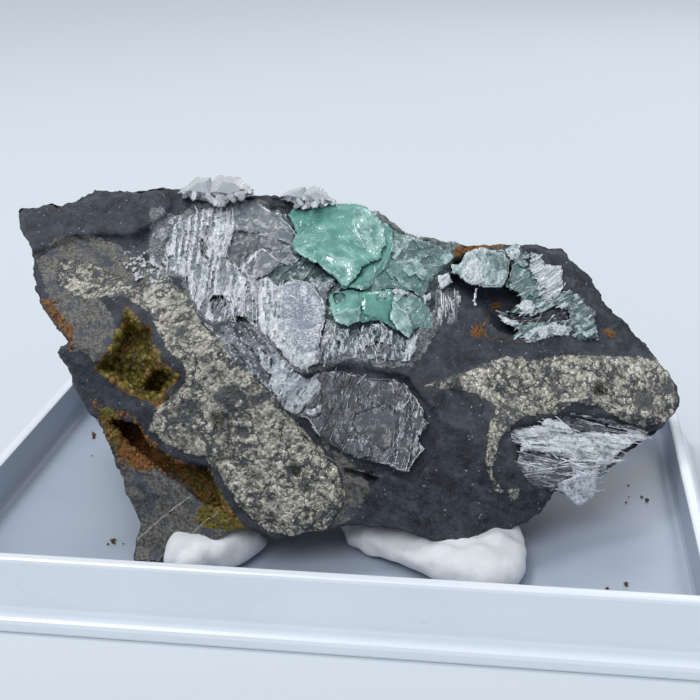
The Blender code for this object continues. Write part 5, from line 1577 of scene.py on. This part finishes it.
LAMELLAR_CRYSTALS_FACETS = (
    Facet(((19.1, 12.6), (20.6, 13.3), (23.0, 12.6), (24.7, 10.7), (26.6, 10.4), (26.8, 7.9), (28.6, 7.0),
          (29.4, 6.0), (30.7, 4.7), (31.1, 1.2), (28.1, 1.0), (25.8, 1.8), (23.8, 1.2), (21.7, 0.8),
          (19.5, 1.2), (21.0, 2.3), (18.2, 4.2), (21.2, 6.0), (21.1, 7.3), (19.1, 7.9), (20.1, 9.8),
          (20.1, 11.3)),
          lift=-0.7, milk=0.36, dark=0.52, green=0.35, ridge=0.5, pitch=0.4, angle=0.95, length=5.0),
    Facet(((19.1, 12.6), (20.6, 13.3), (21.3, 12.2), (20.8, 11.1), (20.0, 11.3)),
          lift=-0.1, milk=0.66, dark=0.1, green=0.2, ridge=0.3, pitch=0.4, length=2.0),
    Facet(((22.8, 12.4), (24.7, 10.7), (26.6, 10.4), (26.7, 7.9), (25.3, 5.9), (23.8, 6.7), (23.2, 8.8),
          (22.5, 10.3)),
          lift=-0.1, milk=0.78, dark=0.12, green=0.08, ridge=0.45, pitch=0.3, angle=0.95, length=6.0),
    Facet(((20.5, 11.1), (22.7, 9.8), (23.6, 6.8), (21.7, 6.4), (19.9, 7.9), (20.2, 9.8)),
          lift=-0.5, milk=0.3, dark=0.5, green=0.5, ridge=0.35, pitch=0.5, angle=0.8),
    Facet(((20.8, 5.5), (21.7, 6.3), (23.0, 6.3), (23.3, 5.2), (22.7, 4.5), (21.7, 4.6)),
          lift=0.0, milk=0.85, dark=0.05, green=0.1, ridge=0.35, pitch=0.4, angle=1.2, length=2.0),
    Facet(((18.9, 4.9), (22.5, 4.2), (26.0, 5.5), (27.8, 4.9), (27.3, 3.8), (23.8, 3.5), (21.7, 3.3),
          (19.5, 4.2)), lift=-1.4, milk=0.12, dark=0.92, ridge=0.3, pitch=0.4, angle=1.4),
    Facet(((26.9, 7.7), (28.6, 7.0), (30.3, 4.9), (29.8, 2.9), (27.7, 2.9), (27.3, 5.1), (26.0, 5.5),
          (25.1, 5.7)),
          lift=-0.4, milk=0.42, dark=0.42, green=0.3, ridge=0.35, pitch=0.35, angle=0.9, length=2.5),
    Facet(((18.2, 4.2), (19.9, 4.2), (21.3, 3.3), (20.5, 2.9), (18.9, 3.5)),
          lift=0.0, milk=0.95, ridge=0.2, pitch=0.4, angle=1.2),
    Facet(((23.0, 2.9), (25.8, 3.5), (27.9, 2.7), (27.5, 1.8), (25.8, 1.8), (23.8, 1.2), (21.7, 0.8),
          (22.1, 2.1)),
          lift=-0.1, milk=0.82, dark=0.08, green=0.1, ridge=0.4, pitch=0.35, angle=0.6, length=4.0),
    Facet(((25.8, 5.5), (27.0, 6.2), (27.4, 5.5), (26.4, 5.1)), lift=0.2, milk=1.0, ridge=0.05),
)

WHITE_FIBRES_FACETS = (
    Facet(((18.0, -8.5), (19.9, -9.6), (23.8, -9.3), (24.7, -8.3), (25.8, -8.7), (27.3, -6.8), (30.3, -7.2),
          (31.6, -8.5), (34.6, -9.3), (37.6, -10.2), (36.7, -11.1), (35.4, -11.9), (34.1, -12.8),
          (33.5, -13.2), (32.4, -14.1), (32.2, -15.4), (31.1, -15.8), (30.7, -18.0), (29.2, -19.5),
          (28.1, -19.2), (27.0, -18.4), (25.8, -17.7), (23.8, -17.5), (19.3, -17.5), (18.9, -14.9),
          (20.8, -14.1), (21.4, -12.1), (19.1, -10.9)),
          lift=-0.4, milk=0.36, dark=0.52, ridge=0.3, pitch=0.3, angle=1.65, length=11.0),
    Facet(((20.4, -10.0), (23.8, -9.4), (24.7, -8.3), (26.0, -8.9), (28.1, -9.8), (34.6, -10.4),
          (36.9, -10.7), (34.1, -12.8), (32.2, -14.5), (31.1, -15.5), (28.1, -15.8), (27.5, -13.9),
          (23.8, -12.8), (21.7, -12.4)),
          lift=0.0, milk=0.78, dark=0.08, ridge=0.32, pitch=0.28, angle=1.66, length=11.0),
    Facet(((26.2, -7.6), (27.5, -8.1), (30.3, -8.7), (34.6, -10.0), (35.4, -10.4), (28.6, -10.3),
          (26.4, -8.9)), lift=-0.9, milk=0.12, dark=0.9, ridge=0.2, pitch=0.3, angle=1.7),
    Facet(((27.3, -7.0), (29.8, -7.3), (30.9, -8.4), (27.7, -8.2)),
          lift=-0.2, milk=0.82, ridge=0.3, pitch=0.25, angle=1.62),
    Facet(((21.4, -12.8), (23.8, -12.9), (27.5, -13.4), (27.3, -14.1), (23.8, -14.3), (21.7, -13.9)),
          lift=-0.7, milk=0.25, dark=0.75, ridge=0.3, pitch=0.3, angle=1.62),
    Facet(((26.0, -16.7), (27.5, -15.8), (30.9, -14.9), (31.0, -16.4), (30.7, -18.0), (29.2, -19.5),
          (28.1, -19.3), (27.0, -18.4)), lift=0.45, milk=0.85, dark=0.02, ridge=0.12, pitch=0.8, angle=1.2),
    Facet(((31.0, -14.6), (32.3, -14.7), (32.2, -15.5), (31.1, -15.9)),
          lift=0.0, milk=0.5, dark=0.3, ridge=0.1),
    Facet(((32.4, -13.9), (33.5, -13.0), (35.2, -11.8), (35.4, -12.0), (34.1, -13.4), (32.3, -15.3)),
          lift=-0.6, milk=0.1, dark=0.85, ridge=0.2),
)

PLATE_SLAB_FACETS = (
    Facet(((-6.7, -8.3), (-5.7, -7.4), (-3.7, -5.0), (-4.5, -3.0), (-3.1, -2.5), (-1.4, -2.7), (0.3, -2.8),
          (2.3, -3.7), (5.9, -3.7), (7.6, -4.8), (8.7, -6.1), (9.2, -8.3), (9.9, -9.3), (8.7, -10.7),
          (9.4, -12.3), (8.1, -13.7), (7.4, -15.4), (5.2, -14.9), (4.6, -14.3), (2.6, -13.9), (1.2, -13.6),
          (-0.7, -13.2), (-2.3, -12.1), (-3.7, -11.1), (-4.7, -10.0), (-5.1, -8.7)),
          milk=0.24, dark=0.93, ridge=0.16, pitch=0.22, angle=0.35, length=6.0, bevel=0.2),
    Facet(((0.9, -8.0), (2.9, -7.1), (4.3, -6.8), (5.8, -7.7), (6.1, -9.4), (5.6, -11.9), (4.3, -12.9),
          (2.9, -11.6), (0.9, -10.3), (0.3, -9.3)),
          lift=-0.08, milk=0.12, dark=0.86, ridge=0.04, pitch=0.6, bevel=0.1),
    Facet(((2.5, -4.0), (5.9, -4.0), (7.2, -5.1), (5.9, -7.4), (4.3, -6.5), (2.9, -7.1), (2.1, -5.5)),
          lift=-0.04, milk=0.3, dark=0.82, ridge=0.08, pitch=0.3, bevel=0.1),
    Facet(((-5.9, -7.7), (-3.7, -5.0), (-3.5, -6.3), (-4.5, -7.1)),
          lift=-0.1, milk=0.0, dark=0.9, ridge=0.02, bevel=0.1),
    Facet(((-5.7, -7.8), (-3.7, -6.7), (-3.5, -7.6), (-5.1, -8.3)),
          lift=0.1, milk=0.6, dark=0.45, ridge=0.08, pitch=0.3, bevel=0.1),
    Facet(((-5.0, -8.6), (-3.5, -8.0), (-2.8, -9.3), (-4.0, -10.1), (-4.7, -9.7)),
          lift=-0.1, milk=0.1, dark=0.8, ridge=0.03, bevel=0.1),
    Facet(((5.9, -5.1), (7.6, -5.1), (9.1, -8.3), (9.8, -9.3), (8.7, -10.7), (9.2, -12.3), (8.1, -13.7),
          (7.4, -15.3), (6.2, -14.4), (5.5, -13.6), (5.9, -11.6), (6.2, -9.4)),
          lift=0.05, milk=0.4, dark=0.8, ridge=0.2, pitch=0.2, angle=0.22, length=9.0, bevel=0.1),
    Facet(((-0.8, -11.3), (0.0, -11.1), (2.3, -10.9), (2.6, -13.2), (1.2, -13.5), (-0.5, -13.0)),
          lift=0.08, milk=0.42, dark=0.7, ridge=0.15, pitch=0.25, length=2.0, bevel=0.1),
)

FROSTY_BLOCK_FACETS = (
    Facet(((-20.1, 5.4), (-18.8, 4.0), (-16.8, 2.8), (-14.1, 4.1), (-11.2, 1.9), (-7.7, -1.5), (-6.7, -2.5),
          (-7.7, -3.1), (-9.2, -4.9), (-10.2, -5.4), (-12.6, -3.0), (-15.1, -1.0), (-16.6, 1.5),
          (-18.8, 3.7)),
          lift=0.1, milk=0.4, dark=0.62, ridge=0.25, pitch=0.5, angle=-0.7, length=3.0, bevel=0.15),
    Facet(((-15.1, 3.0), (-14.1, 4.0), (-12.1, 1.7), (-10.2, -0.5), (-11.2, -1.0), (-13.4, 0.7)),
          lift=0.05, milk=0.2, dark=0.85, ridge=0.2, pitch=0.7, angle=-0.8, bevel=0.1),
    Facet(((-11.7, 0.5), (-10.2, -0.5), (-7.7, -1.7), (-6.8, -2.6), (-7.9, -3.2), (-9.2, -4.9),
          (-10.2, -3.5), (-11.2, -1.5)),
          lift=0.2, milk=0.85, dark=0.1, ridge=0.25, pitch=0.35, angle=-0.6, length=2.5),
    Facet(((-10.0, -0.7), (-9.1, -0.2), (-7.7, -2.1), (-5.6, -3.5), (-3.8, -2.7), (-3.5, -5.1),
          (-5.8, -7.6), (-6.7, -8.3), (-8.3, -7.4), (-9.4, -6.1), (-10.0, -4.8)),
          lift=0.15, milk=0.72, dark=0.25, blue=0.4, ridge=0.2, pitch=0.3, angle=0.4, length=4.0,
          bevel=0.15),
)


def grown_masses() -> list[GrownMass]:
    """The crystals of each cavity that grew into one mass."""
    return [
        GrownMass('clear_crystals', ('clear_blades',), Slot.CLEAR, CLEAR_CRYSTALS_FACETS,
            flaws=(
                Flaws(41, 520, STRIATED_ALL, (0.5, 2.8), (0.02, 0.07), 0.15, 0.1),
                Flaws(43, 260, SILVER, (0.12, 0.6), (0.03, 0.09), 0.3, 1.5),
                Flaws(44, 420, SILVER_FOOT, (0.12, 0.5), (0.05, 0.15), 0.3, 1.5),
                Flaws(46, 40, SILVER, (1.0, 3.4), (0.02, 0.05), -0.25, 0.25),
            ),
            seams=(
                Seam(FRAMED[5:] + FRAMED[:4], 0.26),
                Seam(SILVER[-1:] + SILVER[:9], 0.14),
                Seam(TOP_PLATE[:6], 0.16),
                Seam(((-14.7, 18.2), (-14.6, 15.0), (-15.6, 11.6)), 0.24),
                Seam(((-15.2, 10.9), (-13.0, 9.8), (-12.4, 8.4)), 0.2),
                Seam(BLADE_A + BLADE_A[:1], 0.12),
                Seam(BLADE_B + BLADE_B[:1], 0.12),
                Seam(((-8.2, 4.2), (-6.0, 5.4), (-4.4, 5.8)), 0.1),
            ),
            back_step=-0.5),
        GrownMass('green_crystals_upper', ('phosphophyllite_upper',), Slot.GREEN,
            GREEN_CRYSTALS_UPPER_FACETS,
            flaws=(
                Flaws(31, 40, ((-0.6, 16.0), (2.4, 15.0), (3.8, 11.4), (1.0, 10.6), (-1.6, 12.6)),
                    (1.0, 3.2), (0.03, 0.09), -0.4, 0.1),
                Flaws(32, 14, ((-6.9, 13.2), (-5.6, 15.6), (-3.0, 15.4), (-3.4, 12.6)), (0.5, 1.7),
                    (0.05, 0.13), 1.75, 0.08),
            ),
            seams=(
                Seam(((-7.3, 12.9), (-4.2, 10.7), (-1.2, 9.2)), 0.16),
            ),
            back_step=-1.7),
        GrownMass('green_crystals_lower', ('phosphophyllite_lower',), Slot.GREEN,
            GREEN_CRYSTALS_LOWER_FACETS,
            back_step=-0.9),
        GrownMass('green_druse_crust', ('green_druse',), Slot.PALE, GREEN_DRUSE_CRUST_FACETS,
            flaws=(
                Flaws(63, 130, DRUSE, (0.1, 0.5), (0.04, 0.13), 0.4, 1.5),
            ),
            back_step=-0.9),
        GrownMass('olive_blade_band', ('olive_blades',), Slot.SMOKY, OLIVE_BLADE_BAND_FACETS,
            flaws=(
                Flaws(65, 150, OLIVE, (0.4, 1.7), (0.03, 0.08), 0.12, 0.3),
            ),
            back_step=-0.7),
        GrownMass('pale_crystals_right', ('pale_crystals',), Slot.PALE, PALE_CRYSTALS_RIGHT_FACETS,
            flaws=(
                Flaws(55, 16, STRIPES, (1.2, 3.2), (0.1, 0.2), 0.05, 0.05),
            ),
            back_step=-0.9),
        GrownMass('lamellar_crystals', ('bladed_crystals',), Slot.SMOKY, LAMELLAR_CRYSTALS_FACETS,
            flaws=(
                Flaws(53, 130, BLADED_CORNERS, (0.4, 2.4), (0.03, 0.1), 0.95, 0.2),
            ),
            back_step=-1.3),
        GrownMass('white_fibres', ('fibrous_crystals',), Slot.FIBRE, WHITE_FIBRES_FACETS,
            flaws=(
                Flaws(66, 220, FIBRE_CORNERS, (1.0, 4.6), (0.03, 0.09), 1.66, 0.04),
            )),
        GrownMass('plate_slab', ('cleavage_plate',), Slot.SMOKY, PLATE_SLAB_FACETS,
            flaws=(
                Flaws(82, 90, PLATE, (0.4, 2.0), (0.02, 0.05), 0.3, 0.15),
                Flaws(83, 40, PLATE, (0.3, 1.2), (0.02, 0.05), -0.5, 0.5),
            ),
            seams=(
                Seam(PLATE + PLATE[:1], 0.12),
            ),
            back_step=-0.15),
        GrownMass('frosty_block', (), Slot.CLEAR, FROSTY_BLOCK_FACETS,
            draped=True),
    ]




def crystal_groups() -> list[CrystalGroup]:
    """The groups of separate crystals."""
    return [
        CrystalGroup('left_flakes', (), Slot.CLEAR,
            (),
            crowds=(
                Crowd(12, 46, LEFT_FLAKES, (0.3, 0.9), (0.25, 0.5), 0.4, sway=1.5, rise=0.1, relief=0.25),
            ),
            sunk=0.9,
        ),
        CrystalGroup('back_crystals', ('back_crystals_left', 'back_crystals_right'), Slot.CLEAR,
            (
                seat(((-21.0, 19.2), (-19.0, 20.6), (-14.0, 20.6), (-12.4, 19.4), (-16.4, 18.2)), 0.6),
                Blade(((-21.6, 19.6), (-19.4, 21.4), (-17.4, 21.6), (-16.6, 18.8)), rise=2.2, relief=1.4,
                    inset=0.5),
                Blade(((-18.4, 19.4), (-16.6, 21.8), (-13.8, 21.4), (-11.9, 20.0), (-15.0, 18.8)), rise=2.0,
                    relief=1.6, inset=0.5),
                seat(((-8.6, 18.8), (-6.2, 19.8), (-3.6, 19.4), (-2.4, 18.6), (-6.0, 18.2)), 0.6),
                Blade(((-8.8, 19.2), (-7.6, 20.0), (-5.6, 20.4), (-5.0, 18.4)), rise=2.2, relief=1.2,
                    inset=0.5),
                Blade(((-6.2, 19.4), (-4.6, 20.6), (-3.0, 19.6), (-1.8, 18.4), (-4.6, 18.2)), rise=2.0,
                    relief=1.4, inset=0.5),
            ),
            crowds=(
                Crowd(71, 60, ((-23.0, 19.4), (-19.4, 21.8), (-14.0, 21.8), (-11.4, 19.6), (-16.4, 17.6)),
                    (0.9, 2.0), (0.5, 1.0), 0.2, sway=1.2, rise=2.6, margin=-0.2),
                Crowd(72, 34, ((-9.2, 18.6), (-6.8, 20.3), (-3.6, 20.5), (-1.4, 18.2), (-5.6, 17.4)),
                    (0.9, 1.6), (0.5, 0.9), 0.2, sway=1.2, rise=2.4, margin=-0.2),
            ),
        ),
    ]


@dataclass(frozen=True)
class CrustArea:
    """A part of the rock lined with rounded crust."""

    outline: Outline
    count: int
    size: Spot
    seed: int


@dataclass
class RoundedCrust:
    """Rounded crust that lines the hollows, as balls grown into each other."""

    name: str
    nodes: tuple[str, ...]
    areas: tuple[CrustArea, ...]
    sunk: float = -0.25

    def build(self, surface: BVHTree, finish: bpy.types.Material) -> None:
        """Makes the crust.

        Args:
            surface: The rock's surface.
            finish: The crust's material.
        """
        bm = bmesh.new()
        eye = SIDE.eye * MM
        for area in self.areas:
            dice = random.Random(area.seed)
            rights, ups = zip(*area.outline)
            laid = 0
            while laid < area.count:
                u, v = dice.uniform(min(rights), max(rights)), dice.uniform(min(ups), max(ups))
                size = dice.uniform(*area.size)
                if float(inside_depth(np.array([u]), np.array([v]), area.outline)[0]) < 0.0:
                    continue
                laid += 1
                hit, normal, _, _ = surface.ray_cast(eye, (SIDE.place(u, v, 0.0) - eye).normalized())
                if hit is None:
                    continue
                turn = Matrix.Rotation(dice.uniform(0.0, 6.0), 4, "Z")
                squat = Matrix.Diagonal((1.0, dice.uniform(0.75, 1.0), dice.uniform(0.7, 1.0), 1.0))
                spot = Matrix.Translation(hit + normal * size * self.sunk * MM)
                bmesh.ops.create_icosphere(bm, subdivisions=2, radius=size * MM, matrix=spot @ turn @ squat)
        finish_piece(link(self.name, as_mesh(bm, self.name)), finish, self.nodes, smooth=True)


@dataclass
class PuttyBlob:
    """A blob of putty pressed between the rock and the floor of the box."""

    name: str
    node: str
    outline: Outline
    top: float
    seed: float
    floor: float = 2.75

    def build(self, finish: bpy.types.Material) -> None:
        """Makes the blob.

        Args:
            finish: The putty's material.
        """
        middle = Vector(np.mean(np.array(self.outline), axis=0))
        bm = bmesh.new()
        rings = []
        for scale, level in ((0.90, 0.0), (1.0, 0.18), (1.02, 0.45), (0.95, 0.74), (0.72, 0.95), (0.35, 1.0)):
            ring = []
            for corner in self.outline:
                spot = middle + (Vector(corner) - middle) * scale
                height = self.floor + level * (self.top - self.floor)
                ring.append(bm.verts.new((spot.x * MM, spot.y * MM, height * MM)))
            rings.append(ring)
        for low, high in zip(rings, rings[1:]):
            for i in range(len(low)):
                j = (i + 1) % len(low)
                bm.faces.new((low[i], low[j], high[j], high[i]))
        bm.faces.new(rings[0])
        bm.faces.new(rings[-1])
        blob = link(self.name, as_mesh(bm, self.name))
        smooth = blob.modifiers.new("smooth", "SUBSURF")
        smooth.levels = smooth.render_levels = 4
        settle(blob)
        shift = Vector((self.seed, 0.0, 0.0))
        normals = [vertex.normal.copy() for vertex in blob.data.vertices]
        for vertex, normal in zip(blob.data.vertices, normals):
            p = vertex.co / MM + shift
            dent = 0.7 * noise.noise(p * 0.16) + 0.35 * noise.noise(p * 0.4)
            dent = dent - 0.25 * abs(noise.noise(p * 0.3))
            crease = -0.5 * math.exp(-((noise.noise(p * 0.12) * 6.0) ** 2))
            vertex.co += normal * (dent + crease) * MM
            vertex.co.z = max(vertex.co.z, self.floor * MM)
        finish_piece(blob, finish, (self.node,), smooth=True)


@dataclass
class BoxBase:
    """The shallow tray with a low ledge around its foot."""

    width: float = 88.2
    depth: float = 54.0
    height: float = 8.0
    wall: float = 1.5
    floor: float = 2.6
    ledge: float = 2.4
    ledge_height: float = 1.7
    rounding: float = 0.28

    def _loop(
        self, bm: bmesh.types.BMesh, grow: float, corner: float, level: float
    ) -> list[bmesh.types.BMVert]:
        """A rounded rectangle, grown from the tray's outside."""
        half = (self.width / 2.0 + grow - corner, self.depth / 2.0 + grow - corner)
        loop = []
        for quarter, (sx, sy) in enumerate(((1, 1), (-1, 1), (-1, -1), (1, -1))):
            for step in range(7):
                angle = math.radians(90.0 * (quarter + step / 6.0))
                loop.append(bm.verts.new(((sx * half[0] + corner * math.cos(angle)) * MM,
                                          (sy * half[1] + corner * math.sin(angle)) * MM, level * MM)))
        return loop

    def build(self, finish: bpy.types.Material, shaded: bpy.types.Material) -> None:
        """Makes the tray.

        Args:
            finish: The tray's material.
            shaded: A darker copy of the plastic for the inside faces: painted shade.
        """
        r = self.rounding
        profile = [(self.ledge - r, 0.0), (self.ledge - 0.3 * r, 0.3 * r), (self.ledge, r),
                   (self.ledge, self.ledge_height - 2 * r),
                   (self.ledge - 0.6 * r, self.ledge_height - 0.6 * r),
                   (self.ledge - 2 * r, self.ledge_height), (0.9 * r, self.ledge_height),
                   (0.25 * r, self.ledge_height + 0.3 * r), (0.0, self.ledge_height + r),
                   (0.0, self.height - 1.4 * r),
                   (-0.4 * r, self.height - 0.4 * r), (-1.4 * r, self.height),
                   (-self.wall + 1.2 * r, self.height),
                   (-self.wall + 0.3 * r, self.height - 0.4 * r), (-self.wall, self.height - 1.3 * r),
                   (-self.wall, self.floor + 0.8), (-self.wall - 0.25, self.floor + 0.25),
                   (-self.wall - 0.8, self.floor)]
        bm = bmesh.new()
        loops = [self._loop(bm, grow, max(0.35, 2.0 + grow), level) for grow, level in profile]
        for low, high in zip(loops, loops[1:]):
            for i in range(len(low)):
                j = (i + 1) % len(low)
                bm.faces.new((low[i], low[j], high[j], high[i]))
        bm.faces.new(loops[0])
        bm.faces.new(loops[-1])
        tray = finish_piece(link("tray", as_mesh(bm, "tray")), finish, ("box_base",))
        # The inside faces take the darker copy of the plastic: painted shade.
        tray.data.materials.append(shaded)
        across, along = (self.width / 2.0 - 1.2) * MM, (self.depth / 2.0 - 1.2) * MM
        for face in tray.data.polygons:
            middle = face.center
            aloft = 0.5 * MM < middle.z < (self.height - 0.2) * MM
            if abs(middle.x) < across and abs(middle.y) < along and aloft:
                face.material_index = 1


@dataclass
class Crumbs:
    """Crumbs that fell off the rock, on the floor of the box and on the putty."""

    floor: float = 2.62
    spots: tuple = (
        (-17.2, -22.0, 2.6, 16), (-14.0, -22.6, 1.4, 5), (-26.0, -14.0, 1.5, 5), (-36.0, -18.0, 2.5, 4),
        (31.0, -18.0, 4.0, 7), (36.0, 4.0, 3.5, 5), (-34.0, 12.0, 5.0, 5),
    )

    def build(self, finish: bpy.types.Material) -> None:
        """Makes the crumbs.

        Args:
            finish: Their material.
        """
        dice = random.Random(17)
        bm = bmesh.new()
        for x, y, reach, count in self.spots:
            for _ in range(count):
                size = dice.uniform(0.12, 0.42)
                middle = Vector((x + dice.gauss(0.0, reach / 2.0), y + dice.gauss(0.0, reach / 3.0),
                                 self.floor + 0.45 * size))
                middle.x, middle.y = min(42.0, max(-42.0, middle.x)), min(24.5, max(-24.5, middle.y))
                corners = []
                for _ in range(9):
                    arm = Vector((dice.gauss(0, 1), dice.gauss(0, 1), dice.gauss(0, 1))).normalized()
                    spot = middle + arm * size
                    spot.z = max(spot.z, self.floor)
                    corners.append(spot * MM)
                add_hull(bm, corners)
        finish_piece(link("rust_crumbs", as_mesh(bm, "rust_crumbs")), finish)


PUTTY_LEFT = (
    (-17.8, -19.0), (-16.2, -21.2), (-12.9, -21.8), (-9.0, -19.2), (-6.4, -15.0), (-6.6, -10.5),
    (-12.0, -9.5), (-17.6, -12.5),
)
PUTTY_RIGHT = (
    (0.6, -9.6), (2.8, -12.6), (5.4, -14.4), (9.8, -17.0), (14.0, -19.8), (18.5, -20.9), (23.2, -20.3),
    (24.6, -16.6), (24.2, -9.0), (20.0, -4.0), (10.0, -3.6), (2.6, -6.0),
)
ROCK_VEINS = (
    Seam(((-26.8, -23.9), (-23.8, -21.2), (-21.5, -19.4), (-19.8, -18.2)), 0.34, 0.03, 5, 0.06),
    Seam(((-20.8, -24.2), (-18.4, -21.6), (-16.6, -20.4)), 0.2, 0.03, 6, 0.06),
    Seam(((-1.6, -2.6), (0.4, -3.0), (2.6, -3.6), (5.6, -3.7), (6.6, -4.4)), 0.12, 0.04, 7),
    Seam(((-20.1, 5.6), (-18.8, 4.4), (-17.0, 3.1), (-15.5, 3.9), (-13.9, 4.2), (-12.8, 3.4), (-11.0, 1.5),
          (-9.4, -0.2), (-7.8, -1.8)), 0.16, 0.05, 8),
    Seam(((-9.4, -7.0), (-7.0, -9.8), (-4.2, -12.6), (-0.6, -14.6), (4.0, -15.8)), 0.10, 0.04, 9),
)
GASH_LINING = (
    CrustArea(((-31.0, -7.0), (-27.2, -8.0), (-24.6, -11.2), (-21.2, -14.0), (-17.4, -14.8), (-14.6, -20.8),
        (-17.4, -20.0), (-21.8, -16.4), (-25.6, -14.0), (-30.0, -10.0)), 330, (0.1, 0.3), 91),
    CrustArea(((-33.0, -6.0), (-31.2, -6.4), (-29.0, -11.2), (-27.8, -16.0), (-29.0, -14.0), (-31.4, -9.0)),
        60, (0.1, 0.26), 92),
    CrustArea(((-37.4, 6.0), (-36.4, 6.4), (-34.4, 1.6), (-34.8, -0.2), (-36.2, 0.2), (-37.0, 3.0)), 50,
        (0.1, 0.28), 93),
)
VUG_LINING = (
    CrustArea(((-32.0, -2.4), (-30.4, -0.6), (-29.6, 1.0), (-28.6, 3.4), (-27.8, 5.0), (-26.9, 4.2),
        (-25.8, 2.2), (-24.8, 1.4), (-23.6, -1.4), (-21.4, -3.2), (-22.8, -5.4), (-24.0, -6.6),
        (-27.2, -5.4)), 260, (0.28, 0.66), 94),
)


@dataclass
class Studio:
    """A plain pale floor, soft light and the camera."""

    floor_colour: Colour = (0.605, 0.655, 0.70)

    def build(self) -> None:
        """Sets the stage."""
        bm = bmesh.new()
        bmesh.ops.create_grid(bm, x_segments=1, y_segments=1, size=4.0)
        ground = link("floor", as_mesh(bm, "floor"))
        made, sheet, shader, where = new_finish("pale_floor")
        tone = sheet.noise(where, 6.0, 2.0)
        dim = tuple(0.985 * part for part in self.floor_colour)
        sheet.tree.links.new(sheet.mix(tone, self.floor_colour, dim), shader.inputs["Base Color"])
        shader.inputs["Roughness"].default_value = 0.6
        ground.data.materials.append(made)

        world = bpy.data.worlds.new("soft_room")
        world.use_nodes = True
        back = world.node_tree.nodes["Background"]
        back.inputs["Color"].default_value = (0.88, 0.93, 1.0, 1.0)
        back.inputs["Strength"].default_value = 0.60
        bpy.context.scene.world = world
        self._light("key", (-0.22, 0.10, 0.52), 0.13, 1.0, (1.0, 0.99, 0.97))
        self._light("rim", (0.16, 0.46, 0.30), 0.15, 0.28, (0.95, 0.98, 1.0))
        sky = bpy.data.lights.new("sky", "SUN")
        sky.energy, sky.angle = 1.1, math.radians(40.0)
        lamp = bpy.data.objects.new("sky", sky)
        lamp.rotation_euler = Vector((0.20, 0.38, -0.60)).to_track_quat("-Z", "Y").to_euler()
        bpy.context.scene.collection.objects.link(lamp)
        bpy.context.scene.view_settings.view_transform = "Standard"
        self._camera()

    def _light(
        self, name: str, spot: tuple[float, float, float], size: float, watts: float, tint: Colour
    ) -> None:
        """Adds a soft square light that faces the specimen."""
        data = bpy.data.lights.new(name, "AREA")
        data.energy, data.size, data.color = watts, size, tint
        lamp = bpy.data.objects.new(name, data)
        lamp.location = spot
        lamp.rotation_euler = (Vector((0.0, 0.0, 0.02)) - Vector(spot)).to_track_quat("-Z", "Y").to_euler()
        bpy.context.scene.collection.objects.link(lamp)

    def _camera(self) -> None:
        """Adds the camera at the eye of the showing side."""
        data = bpy.data.cameras.new("camera")
        data.lens, data.sensor_width = SIDE.lens, 36.0
        data.clip_start, data.clip_end = 0.01, 20.0
        camera = bpy.data.objects.new("camera", data)
        across, aloft = SIDE.axes
        turn = Matrix((across, aloft, -SIDE.forward)).transposed().to_4x4()
        camera.matrix_world = Matrix.Translation(SIDE.eye * MM) @ turn
        bpy.context.scene.collection.objects.link(camera)
        bpy.context.scene.camera = camera


def main() -> None:
    """Builds every piece in order."""
    logging.basicConfig(level=logging.INFO, format="%(name)s %(message)s")
    noise.seed_set(NOISE_SEED)
    effects = Effects()
    Studio().build()
    clear = CrystalFinish("colourless_crystal").make(effects)
    # The white and green flaws are milky flaws that also stand in as painted glints.
    glint = GlintFinish("white_flaw_and_painted_glint", (0.93, 0.95, 0.98)).make(effects)
    vein_finish = GlintFinish("pale_vein", (0.42, 0.41, 0.38), 0.0).make(effects)
    green_glint = GlintFinish("green_flaw_and_painted_glint", (0.70, 0.95, 0.86), 0.3).make(effects)
    rust = CrustFinish("rusty_crust", (0.06, 0.024, 0.005), (0.27, 0.11, 0.018),
                        (0.12, 0.09, 0.02)).make(effects)
    olive = CrustFinish("olive_crust", (0.045, 0.037, 0.005), (0.23, 0.18, 0.027),
                        (0.17, 0.09, 0.015)).make(effects)
    putty = DullFinish("white_putty", (0.64, 0.66, 0.68), (0.73, 0.755, 0.78), (0.7, 0.9), 300.0, 900.0,
                       0.00025).make(effects)
    plastic = DullFinish("white_plastic", (0.74, 0.79, 0.85), (0.76, 0.81, 0.87), (0.26, 0.34), 60.0, 300.0,
                         0.00002).make(effects)

    # A darker copy of the white plastic: painted shade for the inside of the tray.
    shaded = DullFinish("painted_shade_plastic", (0.35, 0.405, 0.49), (0.375, 0.43, 0.515), (0.30, 0.38),
                         60.0, 300.0, 0.00002).make(effects)

    rock = MatrixRock()
    surface = rock.build(RockFinish().make(effects))
    graph = bpy.context.evaluated_depsgraph_get()
    tree = BVHTree.FromObject(surface, graph)
    grown = MassFinish("grown_crystals").make(effects)
    for mass in grown_masses():
        mass.build(rock, tree, grown, green_glint if mass.slot is Slot.GREEN else glint)
    for group in crystal_groups():
        group.build(rock, clear)
    veins = bmesh.new()
    for vein in ROCK_VEINS:
        vein.add_to(veins, tree)
    finish_piece(link("pale_veins", as_mesh(veins, "pale_veins")), vein_finish)
    lines = bmesh.new()
    for line in RUST_LINES:
        line.add_to(lines, tree)
    finish_piece(link("rust_lines", as_mesh(lines, "rust_lines")), rust)
    RoundedCrust("vug_lining", ("vug_crust",), VUG_LINING).build(tree, olive)
    RoundedCrust("gash_lining", (), GASH_LINING).build(tree, rust)
    PuttyBlob("putty_blob_left", "putty_left", PUTTY_LEFT, 7.2, 3.0).build(putty)
    PuttyBlob("putty_blob_right", "putty_right", PUTTY_RIGHT, 6.9, 21.0).build(putty)
    BoxBase().build(plastic, shaded)
    Crumbs().build(rust)


if __name__ == "__main__":
    main()
